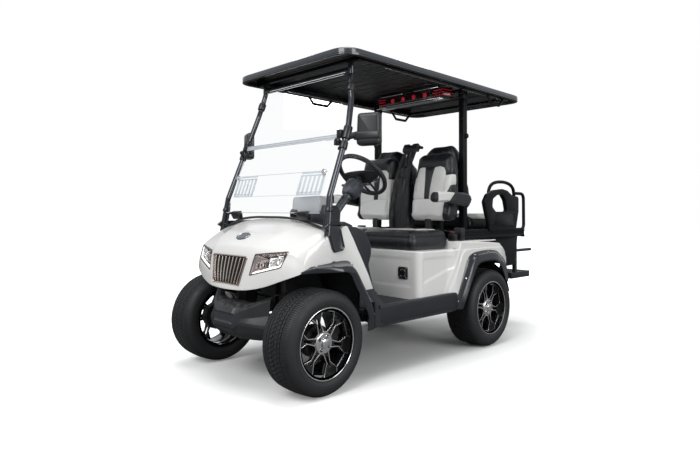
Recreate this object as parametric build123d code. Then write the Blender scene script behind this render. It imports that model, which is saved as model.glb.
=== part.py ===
"""Four-seat electric golf cart: road body, canopy roof and rear-facing seats over a deck.

Every y below is a station measured aft from the front axle. One shift at export moves the
whole cart so that the frame's origin is under the middle of its length, on the ground.
X points to the driver's side (the cart's left), +Y aft, +Z up. All sizes are millimetres.
"""
from build123d import *
import os
from math import cos, sin, radians

# ---------------------------------------------------------------- driving dimensions
WHEELBASE = 1670
REAR_OVERHANG = 992          # to the ends of the stub bars
BUMPER_FRONT = 280           # bumper's face ahead of the front axle
TRACK = 1040                 # between the middles of the tyres

TYRE_R = 292
TYRE_W = 244                 # section width
BEAD_R = 178                 # seat of the tyre on the rim
RIM_LIP_R = 204
RIM_W = 210                  # between the beads' outer faces
LIP_T = 7
BARREL_T = 12
DISC_T = 16
DISC_X = 76                  # outer face of the spokes, from the wheel's middle
HUB_R = 62
HUB_BORE_R = 22.3
SPINDLE_R = 22
WINDOWS = 6
SEAT_GAP = 0.3               # between a curved face and the one it seats on
RUNNING_GAP = 5              # between a moving piece and what it passes

KINGPIN_X = TRACK / 2 - 90
KINGPIN_R = 10
EYE_R = 28
EYE_H = 80
DRUM_R = 90
DRUM_T = 52
AXLE_TUBE_R = 35

RAIL_X = 160                 # middle of each chassis rail
RAIL_W = 50
RAIL_BOTTOM = 345
RAIL_TOP = 395
CHASSIS_REAR_Y = WHEELBASE + 410
SPRING_X = 330
SPRING_HALF_L = 380          # from the rear axle to each end of a leaf spring
STRUT_X = 224                # front struts, clear of the tyres at full lock
TOWER_BOTTOM = 600

FLOOR_TOP = 420
FLOOR_T = 15
FLOOR_FRONT_Y = 362
SILL_X = 605
SILL_W = 60
SILL_BOTTOM = 318
GUARD_X = 500                # inner face of the leg guards

COWL_WALL = 7
COWL_REAR_Y = 120
COWL_FRONT_Y = 262           # nose ahead of the axle
COWL_LEAN = 0.18             # how far the nose leans back for each mm of height
COWL_HALF_W = 558            # also the outer face of the bands beside the leg guards
COWL_BOTTOM = 550
POST_COVER_X = 604           # outer face of the covers round the posts' feet

TUB_HALF_W = 572
TUB_FENDER_HALF_W = 600
TUB_FRONT_Y = 869
TUB_REAR_Y = WHEELBASE + 340
TUB_SEAT_Z = 748             # top of the box under the front cushion
TUB_DECK_Z = 800
TUB_WALL = 8
CUSHION_REAR_Y = 1320
CUSHION_TOP = 876
CUSHION_HALF_W = 525

POST_R = 20                  # front roof posts
POST_BEND = 60
REAR_POST_HALF = 25          # half the side of the square rear posts
REAR_POST_X = 445
REAR_POST_Y = 1570

ROOF_FRONT_Y = 182
ROOF_REAR_Y = 2258
ROOF_HALF_W = 578
ROOF_RIM_Z = 1940
ROOF_BAND = 48
ROOF_CROWN = 32
ROOF_CORNER = 130
ROOF_SKIN = 14

DECK_X = 500                 # outer face of the deck rails
DECK_RAIL_T = 30
DECK_BOTTOM = 808
DECK_TOP = 860
DECK_FRONT_Y = 1447
DECK_REAR_Y = 2403
UPRIGHT_X = 430              # upright bars between the deck and the footplate
UPRIGHT_Y = 2381
UPRIGHT_HALF = 15
STUB_BAR_Z = 680
FOOT_TOP = 492
FOOT_BOTTOM = 440
FOOT_HALF_W = 445
FOOT_FRONT_Y = 2300
FOOT_HOLE_DX = 700           # holes of the footplate, across and along
FOOT_HOLE_DY = 120
FOOT_HOLE_Y = 2500
FOOT_HOLE_R = 5.5
TUBE_R = 13                  # rear hoops

BAR_Z = 1441                 # joint bar between the two panes
WINDSHIELD_Y = 209           # outer face of the panes at that bar
PANE_T = 6
MIRROR_TURN = 22             # degrees by which the mirrors' backs face outwards

WHEEL_HUB = (300, 601, 1257)
COLUMN_TILT = 47             # degrees above level
STEERING_WHEEL_R = 172
COLUMN_LENGTH = 470
COLUMN_R = 32

ARM_INNER_X = 503
ARM_PIVOT_Y = 1440
ARM_PIVOT_Z = 1104
ARM_PIN_R = 9

FLIP_Y = 2378                # hinge of the rear cushion
FLIP_Z = DECK_TOP + 14
FLIP_PIN_R = 7
FLIP_SLEEVE_R = 12
FLIP_REAR_Y = 2340           # rear edge of the flip board
FLIP_INNER_X = 220
FLIP_OUTER_X = 300

WHEEL_CENTRE_X = TRACK / 2
REAR_STATION = WHEELBASE + REAR_OVERHANG
FOOT_REAR_Y = REAR_STATION - 42
MIDDLE_Y = (REAR_STATION - TYRE_R) / 2
TO_FRAME = Pos(0, -MIDDLE_Y, 0)

# Outlines in side view, (y, z). Those of the rear flares are given from the rear axle.
FRONT_FLARE_OUTER = [(-113, 675), (-88, 697), (-55, 708), (60, 720), (168, 730), (240, 722), (287, 682),
                     (400, 530), (404, 470), (404, 321)]
FRONT_FLARE_INNER = [(350, 321), (346, 398), (310, 450), (186, 620), (162, 653), (128, 672), (-110, 668)]
FRONT_ARCH = [(-113, 672), (-62, 700), (0, 711), (60, 718), (168, 728)]
REAR_FLARE_OUTER = [(-458, 322), (-454, 420), (-320, 655), (-292, 686), (-228, 709), (34, 724), (130, 712),
                    (245, 648), (334, 500), (342, 452)]
REAR_FLARE_INNER = [(308, 452), (298, 490), (220, 588), (130, 632), (47, 646), (-189, 640), (-242, 612),
                    (-370, 400), (-374, 322)]
FLARE_INNER_X = 588          # inner face of the rear flares beside the fenders
FLARE_OUTER_X = 652
POST_PATH = [(553, 62, 872), (535, 96, 1101), (520, 254, 1500), (484, 318, 1705),
             (452, 336, ROOF_RIM_Z - 128), (446, 350, ROOF_RIM_Z - 74), (446, 350, ROOF_RIM_Z - 8)]
BACK_SIDE = [(1330, 925), (1396, 1440), (1425, 1462), (1470, 1455), (1478, 1400), (1462, 925)]
REAR_HOOP_PATH = [(485, 2230, 1160), (485, 2440, 1160), (485, 2440, 870), (485, 2380, 846)]


# ---------------------------------------------------------------- shape helpers
def block(x0, x1, y0, y1, z0, z1):
    """Box between two corners."""
    return Pos((x0 + x1) / 2, (y0 + y1) / 2, (z0 + z1) / 2) * Box(abs(x1 - x0), abs(y1 - y0), abs(z1 - z0))


def side_prism(points, x0, x1):
    """Outline of (y, z) points, extruded along X."""
    face = make_face(Polyline(*[(x0, y, z) for y, z in points], close=True))
    return solid_of(extrude(face, amount=x1 - x0, dir=(1, 0, 0)))


def front_prism(points, y0, y1):
    """Outline of (x, z) points, extruded along Y."""
    face = make_face(Polyline(*[(x, y0, z) for x, z in points], close=True))
    return solid_of(extrude(face, amount=y1 - y0, dir=(0, 1, 0)))


def plan_prism(points, z0, z1, lean=0):
    """Outline of (x, y) points, extruded up, leaning aft by lean mm for each mm."""
    face = make_face(Polyline(*[(x, y, z0) for x, y in points], close=True))
    rise = z1 - z0
    run = Vector(0, lean * rise, rise)
    return solid_of(extrude(face, amount=run.length, dir=tuple(run.normalized())))


def solid_of(shape):
    """The one solid in a shape, or the shape itself."""
    solids = shape.solids()
    return solids[0] if len(solids) == 1 else shape


def rod(start, end, radius):
    """Round bar between two points."""
    axis = Vector(*end) - Vector(*start)
    return Plane(origin=start, z_dir=tuple(axis)) * Cylinder(
        radius, axis.length, align=(Align.CENTER, Align.CENTER, Align.MIN))


def bent_tube(points, radius, bend):
    """Round bar that follows points, with one bend radius at every corner."""
    path = FilletPolyline(*points, radius=bend)
    section = Plane(origin=path @ 0, z_dir=path % 0) * Circle(radius)
    return solid_of(sweep(section, path=path))


def mirrored(shape):
    """The same shape on the other side of the cart."""
    return mirror(shape, about=Plane.YZ)


def both_sides(shape):
    """A shape and its mirror image."""
    return [shape, mirrored(shape)]


def closed_half(points):
    """Half outline of (x, other) points from the middle, completed by its mirror image."""
    return points + [(-x, v) for x, v in reversed(points) if x > 0]


def fuse(shapes):
    """All shapes as one body."""
    result = shapes[0]
    for shape in shapes[1:]:
        result = result + shape
    return result


# ---------------------------------------------------------------- wheels
def about_x(profile):
    """Solid of revolution about X from (x, r) points."""
    face = make_face(Polyline(*[(x, 0, r) for x, r in profile], close=True))
    return solid_of(revolve(face, axis=Axis.X, revolution_arc=360))


def tyre_solid():
    """Plain tyre round the wheel's own middle, all its sides straight in section."""
    half = TYRE_W / 2
    sidewall = [(RIM_W / 2, BEAD_R), (RIM_W / 2, RIM_LIP_R + 1), (half - 4, RIM_LIP_R + 8),
                (half, BEAD_R + 57),
                (half - 10, TYRE_R - 24), (half - 30, TYRE_R - 6), (half - 62, TYRE_R)]
    return about_x(sidewall + [(-x, r) for x, r in reversed(sidewall)])


def window_prism(turn):
    """One six-sided window between two double spokes."""
    # columns: radius mm, half angle degrees
    outline = [(74, 7), (112, 21), (152, 19)]
    corners = [(r, a) for r, a in outline] + [(r, -a) for r, a in reversed(outline)]
    points = [(0, r * cos(radians(turn + a)), r * sin(radians(turn + a))) for r, a in corners]
    face = make_face(Polyline(*points, close=True))
    return Pos(DISC_X - 2 * DISC_T, 0, 0) * extrude(face, amount=4 * DISC_T, dir=(1, 0, 0))


def slot_prism(turn):
    """Narrow slot that divides a spoke into two."""
    slot = block(DISC_X - 2 * DISC_T, DISC_X + 2 * DISC_T, HUB_R + 16, BEAD_R - 40, -4, 4)
    return Rot(turn, 0, 0) * slot


def rim_solid():
    """Barrel with its lips, spoked disc and hub, the outer face towards +X."""
    outer_r = BEAD_R - SEAT_GAP
    inner_r = BEAD_R - BARREL_T
    edge = RIM_W / 2 + SEAT_GAP
    barrel = about_x([(-edge - LIP_T, inner_r), (edge + LIP_T, inner_r), (edge + LIP_T, RIM_LIP_R),
                      (edge, RIM_LIP_R), (edge, outer_r), (-edge, outer_r), (-edge, RIM_LIP_R),
                      (-edge - LIP_T, RIM_LIP_R)])
    disc = about_x([(DISC_X - DISC_T, 0), (DISC_X - DISC_T, inner_r + 2), (DISC_X, inner_r + 2),
                    (DISC_X + 6, 0)])
    for number in range(WINDOWS):
        turn = 360 / WINDOWS * number
        disc = disc - window_prism(turn + 180 / WINDOWS) - slot_prism(turn)
    hub = about_x([(35, 0), (35, HUB_R - 8), (DISC_X + 14, HUB_R - 12), (DISC_X + 24, HUB_R - 22),
                   (DISC_X + 24, 0)])
    bore = Rot(0, 90, 0) * Cylinder(HUB_BORE_R, DISC_X - 30, align=(Align.CENTER, Align.CENTER, Align.MIN))
    return solid_of(barrel + disc + hub - Pos(34, 0, 0) * bore)


def wheel_place(side, station):
    """Places a wheel that faces +X on the left (side 1) or the right (side -1)."""
    turn = Rot(0, 0, 0) if side > 0 else Rot(0, 0, 180)
    return Pos(side * WHEEL_CENTRE_X, station, TYRE_R) * turn


# ---------------------------------------------------------------- running gear
def spindle_and_drum(side, station, spindle_from):
    """Brake drum and the spindle that carries the wheel's hub."""
    inner = WHEEL_CENTRE_X - 25
    outer = inner + DRUM_T
    tip = WHEEL_CENTRE_X + DISC_X - 4
    drum = rod((side * inner, station, TYRE_R), (side * outer, station, TYRE_R), DRUM_R)
    spindle = rod((side * spindle_from, station, TYRE_R), (side * tip, station, TYRE_R), SPINDLE_R)
    return drum + spindle


def knuckle(side):
    """Fork round the axle's eye with its kingpin, drum and spindle."""
    ear_z = EYE_H / 2 + RUNNING_GAP
    ear_t = 12
    web_x = KINGPIN_X + EYE_R + RUNNING_GAP + 4
    web_t = 16
    half = 38
    low = TYRE_R - ear_z - ear_t
    high = TYRE_R + ear_z + ear_t
    pieces = [block(side * (KINGPIN_X - 22), side * (web_x + web_t), -22, 22, low, low + ear_t),
              block(side * (KINGPIN_X - 22), side * (web_x + web_t), -22, 22, high - ear_t, high),
              block(side * web_x, side * (web_x + web_t), -half, half, low, high),
              rod((side * KINGPIN_X, 0, low), (side * KINGPIN_X, 0, high), KINGPIN_R),
              rod((side * (web_x + web_t), 0, TYRE_R), (side * (WHEEL_CENTRE_X - 25), 0, TYRE_R), 42),
              block(side * web_x, side * (web_x + web_t), half - 2, 118, low, low + ear_t),
              spindle_and_drum(side, 0, web_x + web_t)]
    return solid_of(fuse(pieces))


def front_axle():
    """Beam with an eye at each end, struts up to the rails and the rack housing."""
    beam = block(-KINGPIN_X + EYE_R - 4, KINGPIN_X - EYE_R + 4, -28, 28, TYRE_R - 25, TYRE_R + 25)
    pieces = [beam]
    for side in (1, -1):
        eye = rod((side * KINGPIN_X, 0, TYRE_R - EYE_H / 2), (side * KINGPIN_X, 0, TYRE_R + EYE_H / 2), EYE_R)
        pieces.append(eye)
        strut_x = side * STRUT_X
        pieces.append(rod((strut_x, 14, TYRE_R + 20), (strut_x, 14, 520), 30))
        pieces.append(rod((strut_x, 14, 500), (strut_x, 14, TOWER_BOTTOM), 18))
        pieces.append(block(side * 60, side * 110, 0, 100, TYRE_R - 15, TYRE_R + 15))
    axle = fuse(pieces) + rod((-190, 105, TYRE_R - 4), (190, 105, TYRE_R - 4), 24)
    bore_r = KINGPIN_R + SEAT_GAP
    for side in (1, -1):
        axle = axle - rod((side * KINGPIN_X, 0, 100), (side * KINGPIN_X, 0, 500), bore_r)
    return solid_of(axle)


def rear_axle():
    """Live axle with drums and spindles, the differential and the drive motor."""
    inner = WHEEL_CENTRE_X - 25
    tube = rod((-inner, WHEELBASE, TYRE_R), (inner, WHEELBASE, TYRE_R), AXLE_TUBE_R)
    differential = Pos(40, WHEELBASE, TYRE_R) * (Rot(0, 90, 0) * Cylinder(95, 110))
    motor = rod((40, WHEELBASE - 270, TYRE_R + 4), (40, WHEELBASE, TYRE_R + 4), 82)
    pieces = [tube, differential, motor]
    for side in (1, -1):
        pieces.append(spindle_and_drum(side, WHEELBASE, inner))
    return solid_of(fuse(pieces))


def chassis_frame():
    """Two rails joined by cross members, with strut towers, spring seats and outriggers."""
    pieces = []
    for side in (1, -1):
        x0 = side * (RAIL_X - RAIL_W / 2)
        x1 = side * (RAIL_X + RAIL_W / 2)
        pieces.append(block(x0, x1, -170, CHASSIS_REAR_Y, RAIL_BOTTOM, RAIL_TOP))
        pieces.append(block(side * (RAIL_X - 5), side * (STRUT_X + 26), -14, 60, TOWER_BOTTOM,
                            TOWER_BOTTOM + 36))
        pieces.append(block(side * (RAIL_X - 20), side * (RAIL_X + 14), -14, 60, RAIL_TOP - 5,
                            TOWER_BOTTOM + 20))
    # columns: station mm, half length mm across the cart
    for station, half in ((-145, 185), (380, 545), (860, 545), (WHEELBASE - SPRING_HALF_L + 10, 360),
                          (WHEELBASE + SPRING_HALF_L - 10, 360)):
        pieces.append(block(-half, half, station - 20, station + 20, RAIL_BOTTOM + 5, RAIL_TOP - 5))
    leaf = TYRE_R + AXLE_TUBE_R
    front = WHEELBASE - SPRING_HALF_L
    rear = WHEELBASE + SPRING_HALF_L
    for side in (1, -1):
        x0 = side * (SPRING_X - 22)
        x1 = side * (SPRING_X + 22)
        pieces.append(block(x0, x1, front, rear, leaf, leaf + 14))
        pieces.append(block(x0, x1, front, front + 25, leaf, RAIL_TOP - 5))
        pieces.append(block(x0, x1, rear - 25, rear, leaf, RAIL_TOP - 5))
    return solid_of(fuse(pieces))


def battery_pack():
    """One plain block at the real size and place of the pack."""
    return block(-330, 330, 940, 1250, FLOOR_TOP, 690)


# ---------------------------------------------------------------- floor
def floor_pan():
    """Floor, toe board, sills and two pedals on their arms."""
    half = SILL_X - SILL_W
    plate = block(-half - 5, half + 5, FLOOR_FRONT_Y, 1290, FLOOR_TOP - FLOOR_T, FLOOR_TOP)
    toe_board = side_prism([(FLOOR_FRONT_Y, FLOOR_TOP - FLOOR_T), (FLOOR_FRONT_Y + 20, FLOOR_TOP),
                            (252, 640), (232, 640)], -250, 250)
    wide_toe = side_prism([(FLOOR_FRONT_Y, FLOOR_TOP - FLOOR_T), (FLOOR_FRONT_Y + 18, FLOOR_TOP - FLOOR_T),
                           (FLOOR_FRONT_Y + 18, 690), (FLOOR_FRONT_Y,
                                                       690)], -GUARD_X + SEAT_GAP, GUARD_X - SEAT_GAP)
    pieces = [plate, toe_board, wide_toe]
    for side in (1, -1):
        sill = side_prism([(405, SILL_BOTTOM), (1200, SILL_BOTTOM - 2), (1200, FLOOR_TOP - 20),
                           (860, FLOOR_TOP), (440, FLOOR_TOP + 3), (412, 470), (405, 470)],
                          side * (SILL_X - SILL_W), side * SILL_X)
        pieces.append(sill)
    # columns: x, width
    for x, width in ((205, 70), (330, 95)):
        pieces.append(side_prism([(376, 500), (384, 500), (470, 466), (466, 456)], x - width / 2,
                                 x + width / 2))
    return solid_of(fuse(pieces))


# ---------------------------------------------------------------- front body
# Half sections of the front body: station, (x, z) of the middle, crown, shoulder and edge, x of the side.
HOOD_SECTIONS = (
    (-300, (0, 745), (160, 742), (380, 715), (480, 690), 500), (-205, (0, 806), (205, 796), (400, 752),
                                                                (500, 716), 516),
    (-127, (0, 861), (215, 854), (470, 795), (524, 756), 538), (0, (0, 920), (310, 905), (500, 866),
                                                                (540, 848), 552),
    (140, (0, 966), (370, 944), (505, 915), (540, 896), COWL_HALF_W))


def hood_form(inset):
    """Closed form of the front body, smaller by the inset all round."""
    low = COWL_BOTTOM - 60
    sections = []
    for y, middle, crown, shoulder, edge, side_x in HOOD_SECTIONS:
        half = [(0, middle[1] - inset), (crown[0], crown[1] - inset), (shoulder[0] - inset,
                                                                       shoulder[1] - inset),
                (edge[0] - inset, edge[1] - inset), (side_x - inset, edge[1] - 42), (side_x - inset,
                                                                                     low - 4 * inset)]
        sections.append(make_face(Polyline(*[(x, y, z) for x, z in closed_half(half)], close=True)))
    form = solid_of(loft(sections, ruled=True))
    front = COWL_FRONT_Y - inset
    low = COWL_BOTTOM - 80
    shift = COWL_LEAN * (COWL_BOTTOM - low)
    # columns: x, how far the outline lies behind the nose
    outline = [(0, 0), (176, 7), (335, 35), (450, 67), (513, 104), (COWL_HALF_W - 21, 134),
               (COWL_HALF_W, 210)]
    half_plan = [(x - (inset if x > 500 else 0), -front + back - shift) for x, back in outline]
    half_plan = half_plan + [(COWL_HALF_W - inset, 600)]
    wrap = plan_prism(closed_half(half_plan), low, 1050, COWL_LEAN)
    return form & wrap


def cowl():
    """Front body shell: nose, hood, fenders and the bands that run down beside the guards."""
    shell = hood_form(0) - hood_form(COWL_WALL)
    shell = shell & block(-700, 700, -400, COWL_REAR_Y, 0, 1100)
    # lower edge, rising outwards from the middle of the nose
    low_edge = [(0, COWL_BOTTOM), (200, 558), (300, 574), (420, 617), (490, 642), (545, 673), (700, 673),
                (700, 300)]
    under = front_prism(closed_half(low_edge), -400, 400)
    shell = shell - under
    # headlight and grille recesses go right through the skin
    shell = shell - grille_pocket(SEAT_GAP)
    for side in (1, -1):
        shell = shell - headlight_block(side, SEAT_GAP)
    arch = side_prism(arch_cut(FRONT_ARCH), 300, 700)
    shell = shell - arch - mirrored(arch)
    # the bands' lower edge follows the flares and their rear edge the leg guards
    band = side_prism([(COWL_REAR_Y - 20, 735), (168, 736), (243, 728), (292, 685), (400, 540), (412, 544),
                       (372, 632),
                       (337, 709), (294, 785), (217, 922), (COWL_REAR_Y - 20, 880)],
                      COWL_HALF_W - COWL_WALL, COWL_HALF_W)
    body = fuse([shell] + both_sides(band))
    cover = post_cover() + bent_tube(POST_PATH, POST_R + SEAT_GAP, POST_BEND)
    return body - cover - mirrored(cover)


def grille_pocket(grow):
    """Leaning trapezoid through the nose."""
    half = [(0, 752 + grow), (186 + grow, 751 + grow), (143 + grow, 580 - grow), (0, 578 - grow)]
    return front_prism(closed_half(half), -330, -150)


def grille():
    """Trapezoid frame with upright slats on a closed back."""
    pocket = grille_pocket(0)
    # the grille's own leaning slab, its face just proud of the nose
    slab = plan_prism([(-200, -262), (200, -262), (200, -236), (-200, -236)], 560, 780, COWL_LEAN)
    body = pocket & slab
    front = plan_prism([(-200, -275), (200, -275), (200, -250), (-200, -250)], 560, 780, COWL_LEAN)
    inner = [(0, 738), (172, 737), (132, 594), (0, 592)]
    recess = front_prism(closed_half(inner), -330, -150) & front
    body = body - recess
    slat_count = 8
    slat_w = 11
    for number in range(slat_count):
        share = (number + 0.5) / slat_count * 2 - 1
        top_x = share * 168
        low_x = share * 128
        slat = front_prism([(top_x - slat_w / 2, 742), (top_x + slat_w / 2, 742),
                            (low_x + slat_w / 2, 590), (low_x - slat_w / 2, 590)], -330, -150)
        band = plan_prism([(-200, -259), (200, -259), (200, -246), (-200, -246)], 560, 780, COWL_LEAN)
        body = body + (slat & band)
    return solid_of(body)


def headlight_block(side, grow):
    """Slanted lamp block through the nose's corner."""
    outline = [(233, 766), (461, 790), (440, 704), (212, 641)]
    centre_x = sum(x for x, z in outline) / 4
    centre_z = sum(z for x, z in outline) / 4
    grown = []
    for x, z in outline:
        grown.append((side * (x + (grow if x > centre_x else -grow)), z + (grow if z > centre_z else -grow)))
    return front_prism(grown, -300, -90)


def headlights():
    """Left and right lamp units that follow the nose's outline."""
    wrap = hood_form(-1)
    deep = hood_form(34)
    return [(headlight_block(side, 0) & wrap) - deep for side in (1, -1)]


def front_bumper():
    """Moulded bumper: centre block, swept wings and the skirt under them."""
    centre = side_prism([(-BUMPER_FRONT, 350), (-BUMPER_FRONT + 4, 440), (-240, 462), (-150, 470),
                         (-150, 300), (-262, 300)], -118, 118)
    wing_plan = closed_half([(0, -262), (130, -258), (215, -235), (248, -180), (262, -120)])
    outline = wing_plan[:5] + [(262, -95), (-262, -95)] + wing_plan[5:]
    wings = plan_prism(outline, 262, 520)
    profile = front_prism(closed_half([(0, 446), (130, 446), (262, 520), (262, 330), (200, 268), (0, 262)]),
                          -300, -80)
    hollow = block(-236, 236, -205, -60, 200, 380)
    wings = (wings & profile) - hollow
    rail_edge = RAIL_X + RAIL_W / 2 + SEAT_GAP
    return solid_of(centre + wings - block(-rail_edge, rail_edge, -170 - SEAT_GAP, -60,
                                           RAIL_BOTTOM - SEAT_GAP, RAIL_TOP + SEAT_GAP))


def arch_cut(outer):
    """Wheel arch opening: all that lies below the flare's outer edge."""
    return [(outer[0][0], 200)] + outer + [(outer[-1][0], 200)]


def from_rear_axle(outline):
    """Outline given from the rear axle, at its station."""
    return [(WHEELBASE + y, z) for y, z in outline]


def plan_cutter(points):
    """Tall prism over (x, y) points that trims a flare's end."""
    return plan_prism(points, 200, 900)


def fender_flares():
    """Four arch flares, their ends drawn in towards the body."""
    flares = []
    front = side_prism(FRONT_FLARE_OUTER + FRONT_FLARE_INNER, 480, FLARE_OUTER_X)
    far = FLARE_OUTER_X + 60
    front = front - plan_cutter([(FLARE_OUTER_X, 128), (604, -6), (572, -64), (541, -113), (540, -140),
                                 (far, -140),
                                 (far, 128)])
    front = front - plan_cutter([(FLARE_OUTER_X, 165), (618, 420), (far, 420), (far, 165)])
    front = front - hood_form(-SEAT_GAP) - block(470, COWL_HALF_W + SEAT_GAP, 100, 420, 200, 900)
    rear = side_prism(from_rear_axle(REAR_FLARE_OUTER + REAR_FLARE_INNER), FLARE_INNER_X - 26, FLARE_OUTER_X)
    rear = rear - plan_cutter([(FLARE_OUTER_X, WHEELBASE + 110), (590, WHEELBASE + 350),
                               (far, WHEELBASE + 350),
                               (far, WHEELBASE + 110)])
    rear = rear - plan_cutter([(FLARE_OUTER_X, WHEELBASE - 370), (612, WHEELBASE - 480),
                               (far, WHEELBASE - 480),
                               (far, WHEELBASE - 370)])
    rear = rear - block(500, FLARE_INNER_X, WHEELBASE - 570, WHEELBASE + 290, 200, 900)
    for flare in (front, rear):
        flares.extend(both_sides(solid_of(flare)))
    return flares


def leg_guards():
    """Dark guards behind the cowl's bands, and the covers round the posts' feet."""
    guard = side_prism([(232, 924), (277, 919), (345, 905), (392, 865), (411, 811), (414, 745), (396, 706),
                        (432, 542), (440, 471), (366, 471), (366, 640), (300, 700)], GUARD_X,
                        COWL_HALF_W - COWL_WALL - 3)
    post_hole = bent_tube(POST_PATH, POST_R + SEAT_GAP, POST_BEND)
    return both_sides(solid_of(guard)) + both_sides(solid_of(post_cover() - post_hole))


def post_cover():
    """Cover round a front post's foot, before the post's hole."""
    outline = [(28, 890), (40, 930), (120, 942), (184, 930), (190, 800), (172, 778), (100, 776), (44, 812)]
    return side_prism(outline, 530, POST_COVER_X)


def dashboard():
    """Dash across the cart, its shelf and the hood in front of the driver."""
    body = side_prism([(124, 800), (124, 946), (250, 952), (318, 930), (336, 880), (300, 790), (270, 700),
                       (240, 700)],
                      -498, 498)
    hood = front_prism([(165, 930), (158, 1010), (200, 1050), (420, 1050), (452, 1010), (446, 930)], 128, 262)
    hood = hood - side_prism([(110, 960), (110, 1080), (170, 1080), (128, 990)], 100, 500)
    lower = side_prism([(222, 690), (222, 720), (290, 720), (256, 640), (236, 640)], -498, 498)
    column_hole = rod(tuple(Vector(*WHEEL_HUB) - column_direction() * (COLUMN_LENGTH + SEAT_GAP)), WHEEL_HUB,
                      COLUMN_R + SEAT_GAP)
    return solid_of(body + hood + lower - column_hole)


# ---------------------------------------------------------------- roof posts and glass

def front_pillars():
    """Two bent posts joined by the tube under the roof's front edge."""
    post = bent_tube(POST_PATH, POST_R, POST_BEND)
    cross_z = ROOF_RIM_Z - 50
    cross = rod((-440, 340, cross_z), (440, 340, cross_z), 14)
    clips = []
    for side in (1, -1):
        # columns: clip station, height, inner x
        for station, height, inner_x in ((WINDSHIELD_Y + 5, BAR_Z, 468), (80, 1075, 488),
                                         (318, ROOF_RIM_Z - 150, 420)):
            clips.append(block(side * inner_x, side * (inner_x + 42), station - 12, station + 16,
                               height - 22, height + 22))
    frame = fuse([post, mirrored(post), cross] + clips)
    for pane in windshield():
        frame = frame - pane
    return solid_of(frame)


def windshield_slope(height):
    """Station of the windshield's outer face at a height."""
    if height < BAR_Z:
        return WINDSHIELD_Y - (BAR_Z - height) * 0.350
    return WINDSHIELD_Y + (height - BAR_Z) * 0.285


def windshield():
    """Lower and upper clear panes, with the joint bar between them."""
    panes = []
    # columns: low z, low half width, high z, high half width
    for low, low_half, high, high_half in ((972, 500, BAR_Z - 5, 478), (BAR_Z + 5, 478, ROOF_RIM_Z - 72,
                                                                        420)):
        y0 = windshield_slope(low)
        y1 = windshield_slope(high)
        slab = side_prism([(y0, low), (y0 + PANE_T, low), (y1 + PANE_T, high), (y1, high)], -600, 600)
        outline = front_prism([(-low_half, low), (low_half, low), (high_half, high), (-high_half, high)],
                              -200, 600)
        panes.append(solid_of(slab & outline))
    return panes


def mirrors():
    """Two door mirrors on their arms."""
    head = block(-76, 76, -27, 27, 1416, 1612)
    head = fillet(head.edges().filter_by(Axis.Y), radius=22)
    head = Pos(626, 326, 0) * Rot(0, 0, MIRROR_TURN) * head
    arm = block(536, 600, 262, 300, 1436, 1476)
    stem = rod((520, 230, 1452), (560, 282, 1456), 14)
    unit = solid_of(head + arm + stem)
    unit = unit - bent_tube(POST_PATH, POST_R + SEAT_GAP, POST_BEND)
    return both_sides(unit)


# ---------------------------------------------------------------- steering
def column_direction():
    """Unit vector up the column."""
    return Vector(0, cos(radians(COLUMN_TILT)), sin(radians(COLUMN_TILT)))


def steering_column():
    """Column from the dash to just under the wheel, with its shroud."""
    direction = column_direction()
    centre = Vector(*WHEEL_HUB)
    foot = centre - direction * COLUMN_LENGTH
    shroud_low = centre - direction * 190
    shroud_top = centre - direction * 62
    lower = rod(tuple(foot), tuple(shroud_low + direction * 10), COLUMN_R)
    plane = Plane(origin=tuple(shroud_low), z_dir=tuple(direction), x_dir=(1, 0, 0))
    shroud = plane * Pos(0, 0, 64) * Box(112, 96, 128)
    stalk = rod(tuple(shroud_top - direction * 30 + Vector(-120, 0, 0)),
                tuple(shroud_top - direction * 30 + Vector(120, 0, 0)), 9)
    shaft = rod(tuple(shroud_top - direction * 5), tuple(centre - direction * 24), 14)
    return solid_of(lower + shroud + stalk + shaft)


def steering_wheel():
    """Rim, three spokes and hub."""
    direction = column_direction()
    plane = Plane(origin=WHEEL_HUB, z_dir=tuple(direction), x_dir=(1, 0, 0))
    rim = Torus(STEERING_WHEEL_R, 14)
    hub = Pos(0, 0, -12) * Cylinder(50, 34)
    spokes = []
    for turn in (180, 0, 270):
        spokes.append(Rot(0, 0, turn) * Pos(105, 0, -6) * Box(135, 34, 12))
    bore = Pos(0, 0, -32) * Cylinder(14 + SEAT_GAP, 20)
    return solid_of(plane * (fuse([rim, hub] + spokes) - bore))


# ---------------------------------------------------------------- rear body
def tub_plan(inset):
    """Half outline of the seat box and rear fenders: (x, y) points."""
    half = TUB_HALF_W - inset
    fender = TUB_FENDER_HALF_W - inset
    return [(half - 26, TUB_FRONT_Y + inset), (half, TUB_FRONT_Y + inset + 26), (half, WHEELBASE - 540),
            (fender, WHEELBASE - 410), (fender, WHEELBASE + 210), (half - 20, TUB_REAR_Y - inset)]


def tub_form(inset, low):
    """Closed form of the seat box and rear fenders."""
    plan = plan_prism(closed_half(tub_plan(inset)), low, 900)
    top = inset
    rear = TUB_REAR_Y - inset
    profile = [(TUB_FRONT_Y - 50, low), (TUB_FRONT_Y - 50, TUB_SEAT_Z - top),
               (CUSHION_REAR_Y + 6 + inset, TUB_SEAT_Z - top), (CUSHION_REAR_Y + 20 + inset,
                                                                TUB_DECK_Z - top),
               (rear - 160, TUB_DECK_Z - top), (rear - 65, 735 - top), (rear, 600), (rear, low)]
    return plan & side_prism(profile, -700, 700)


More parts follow.
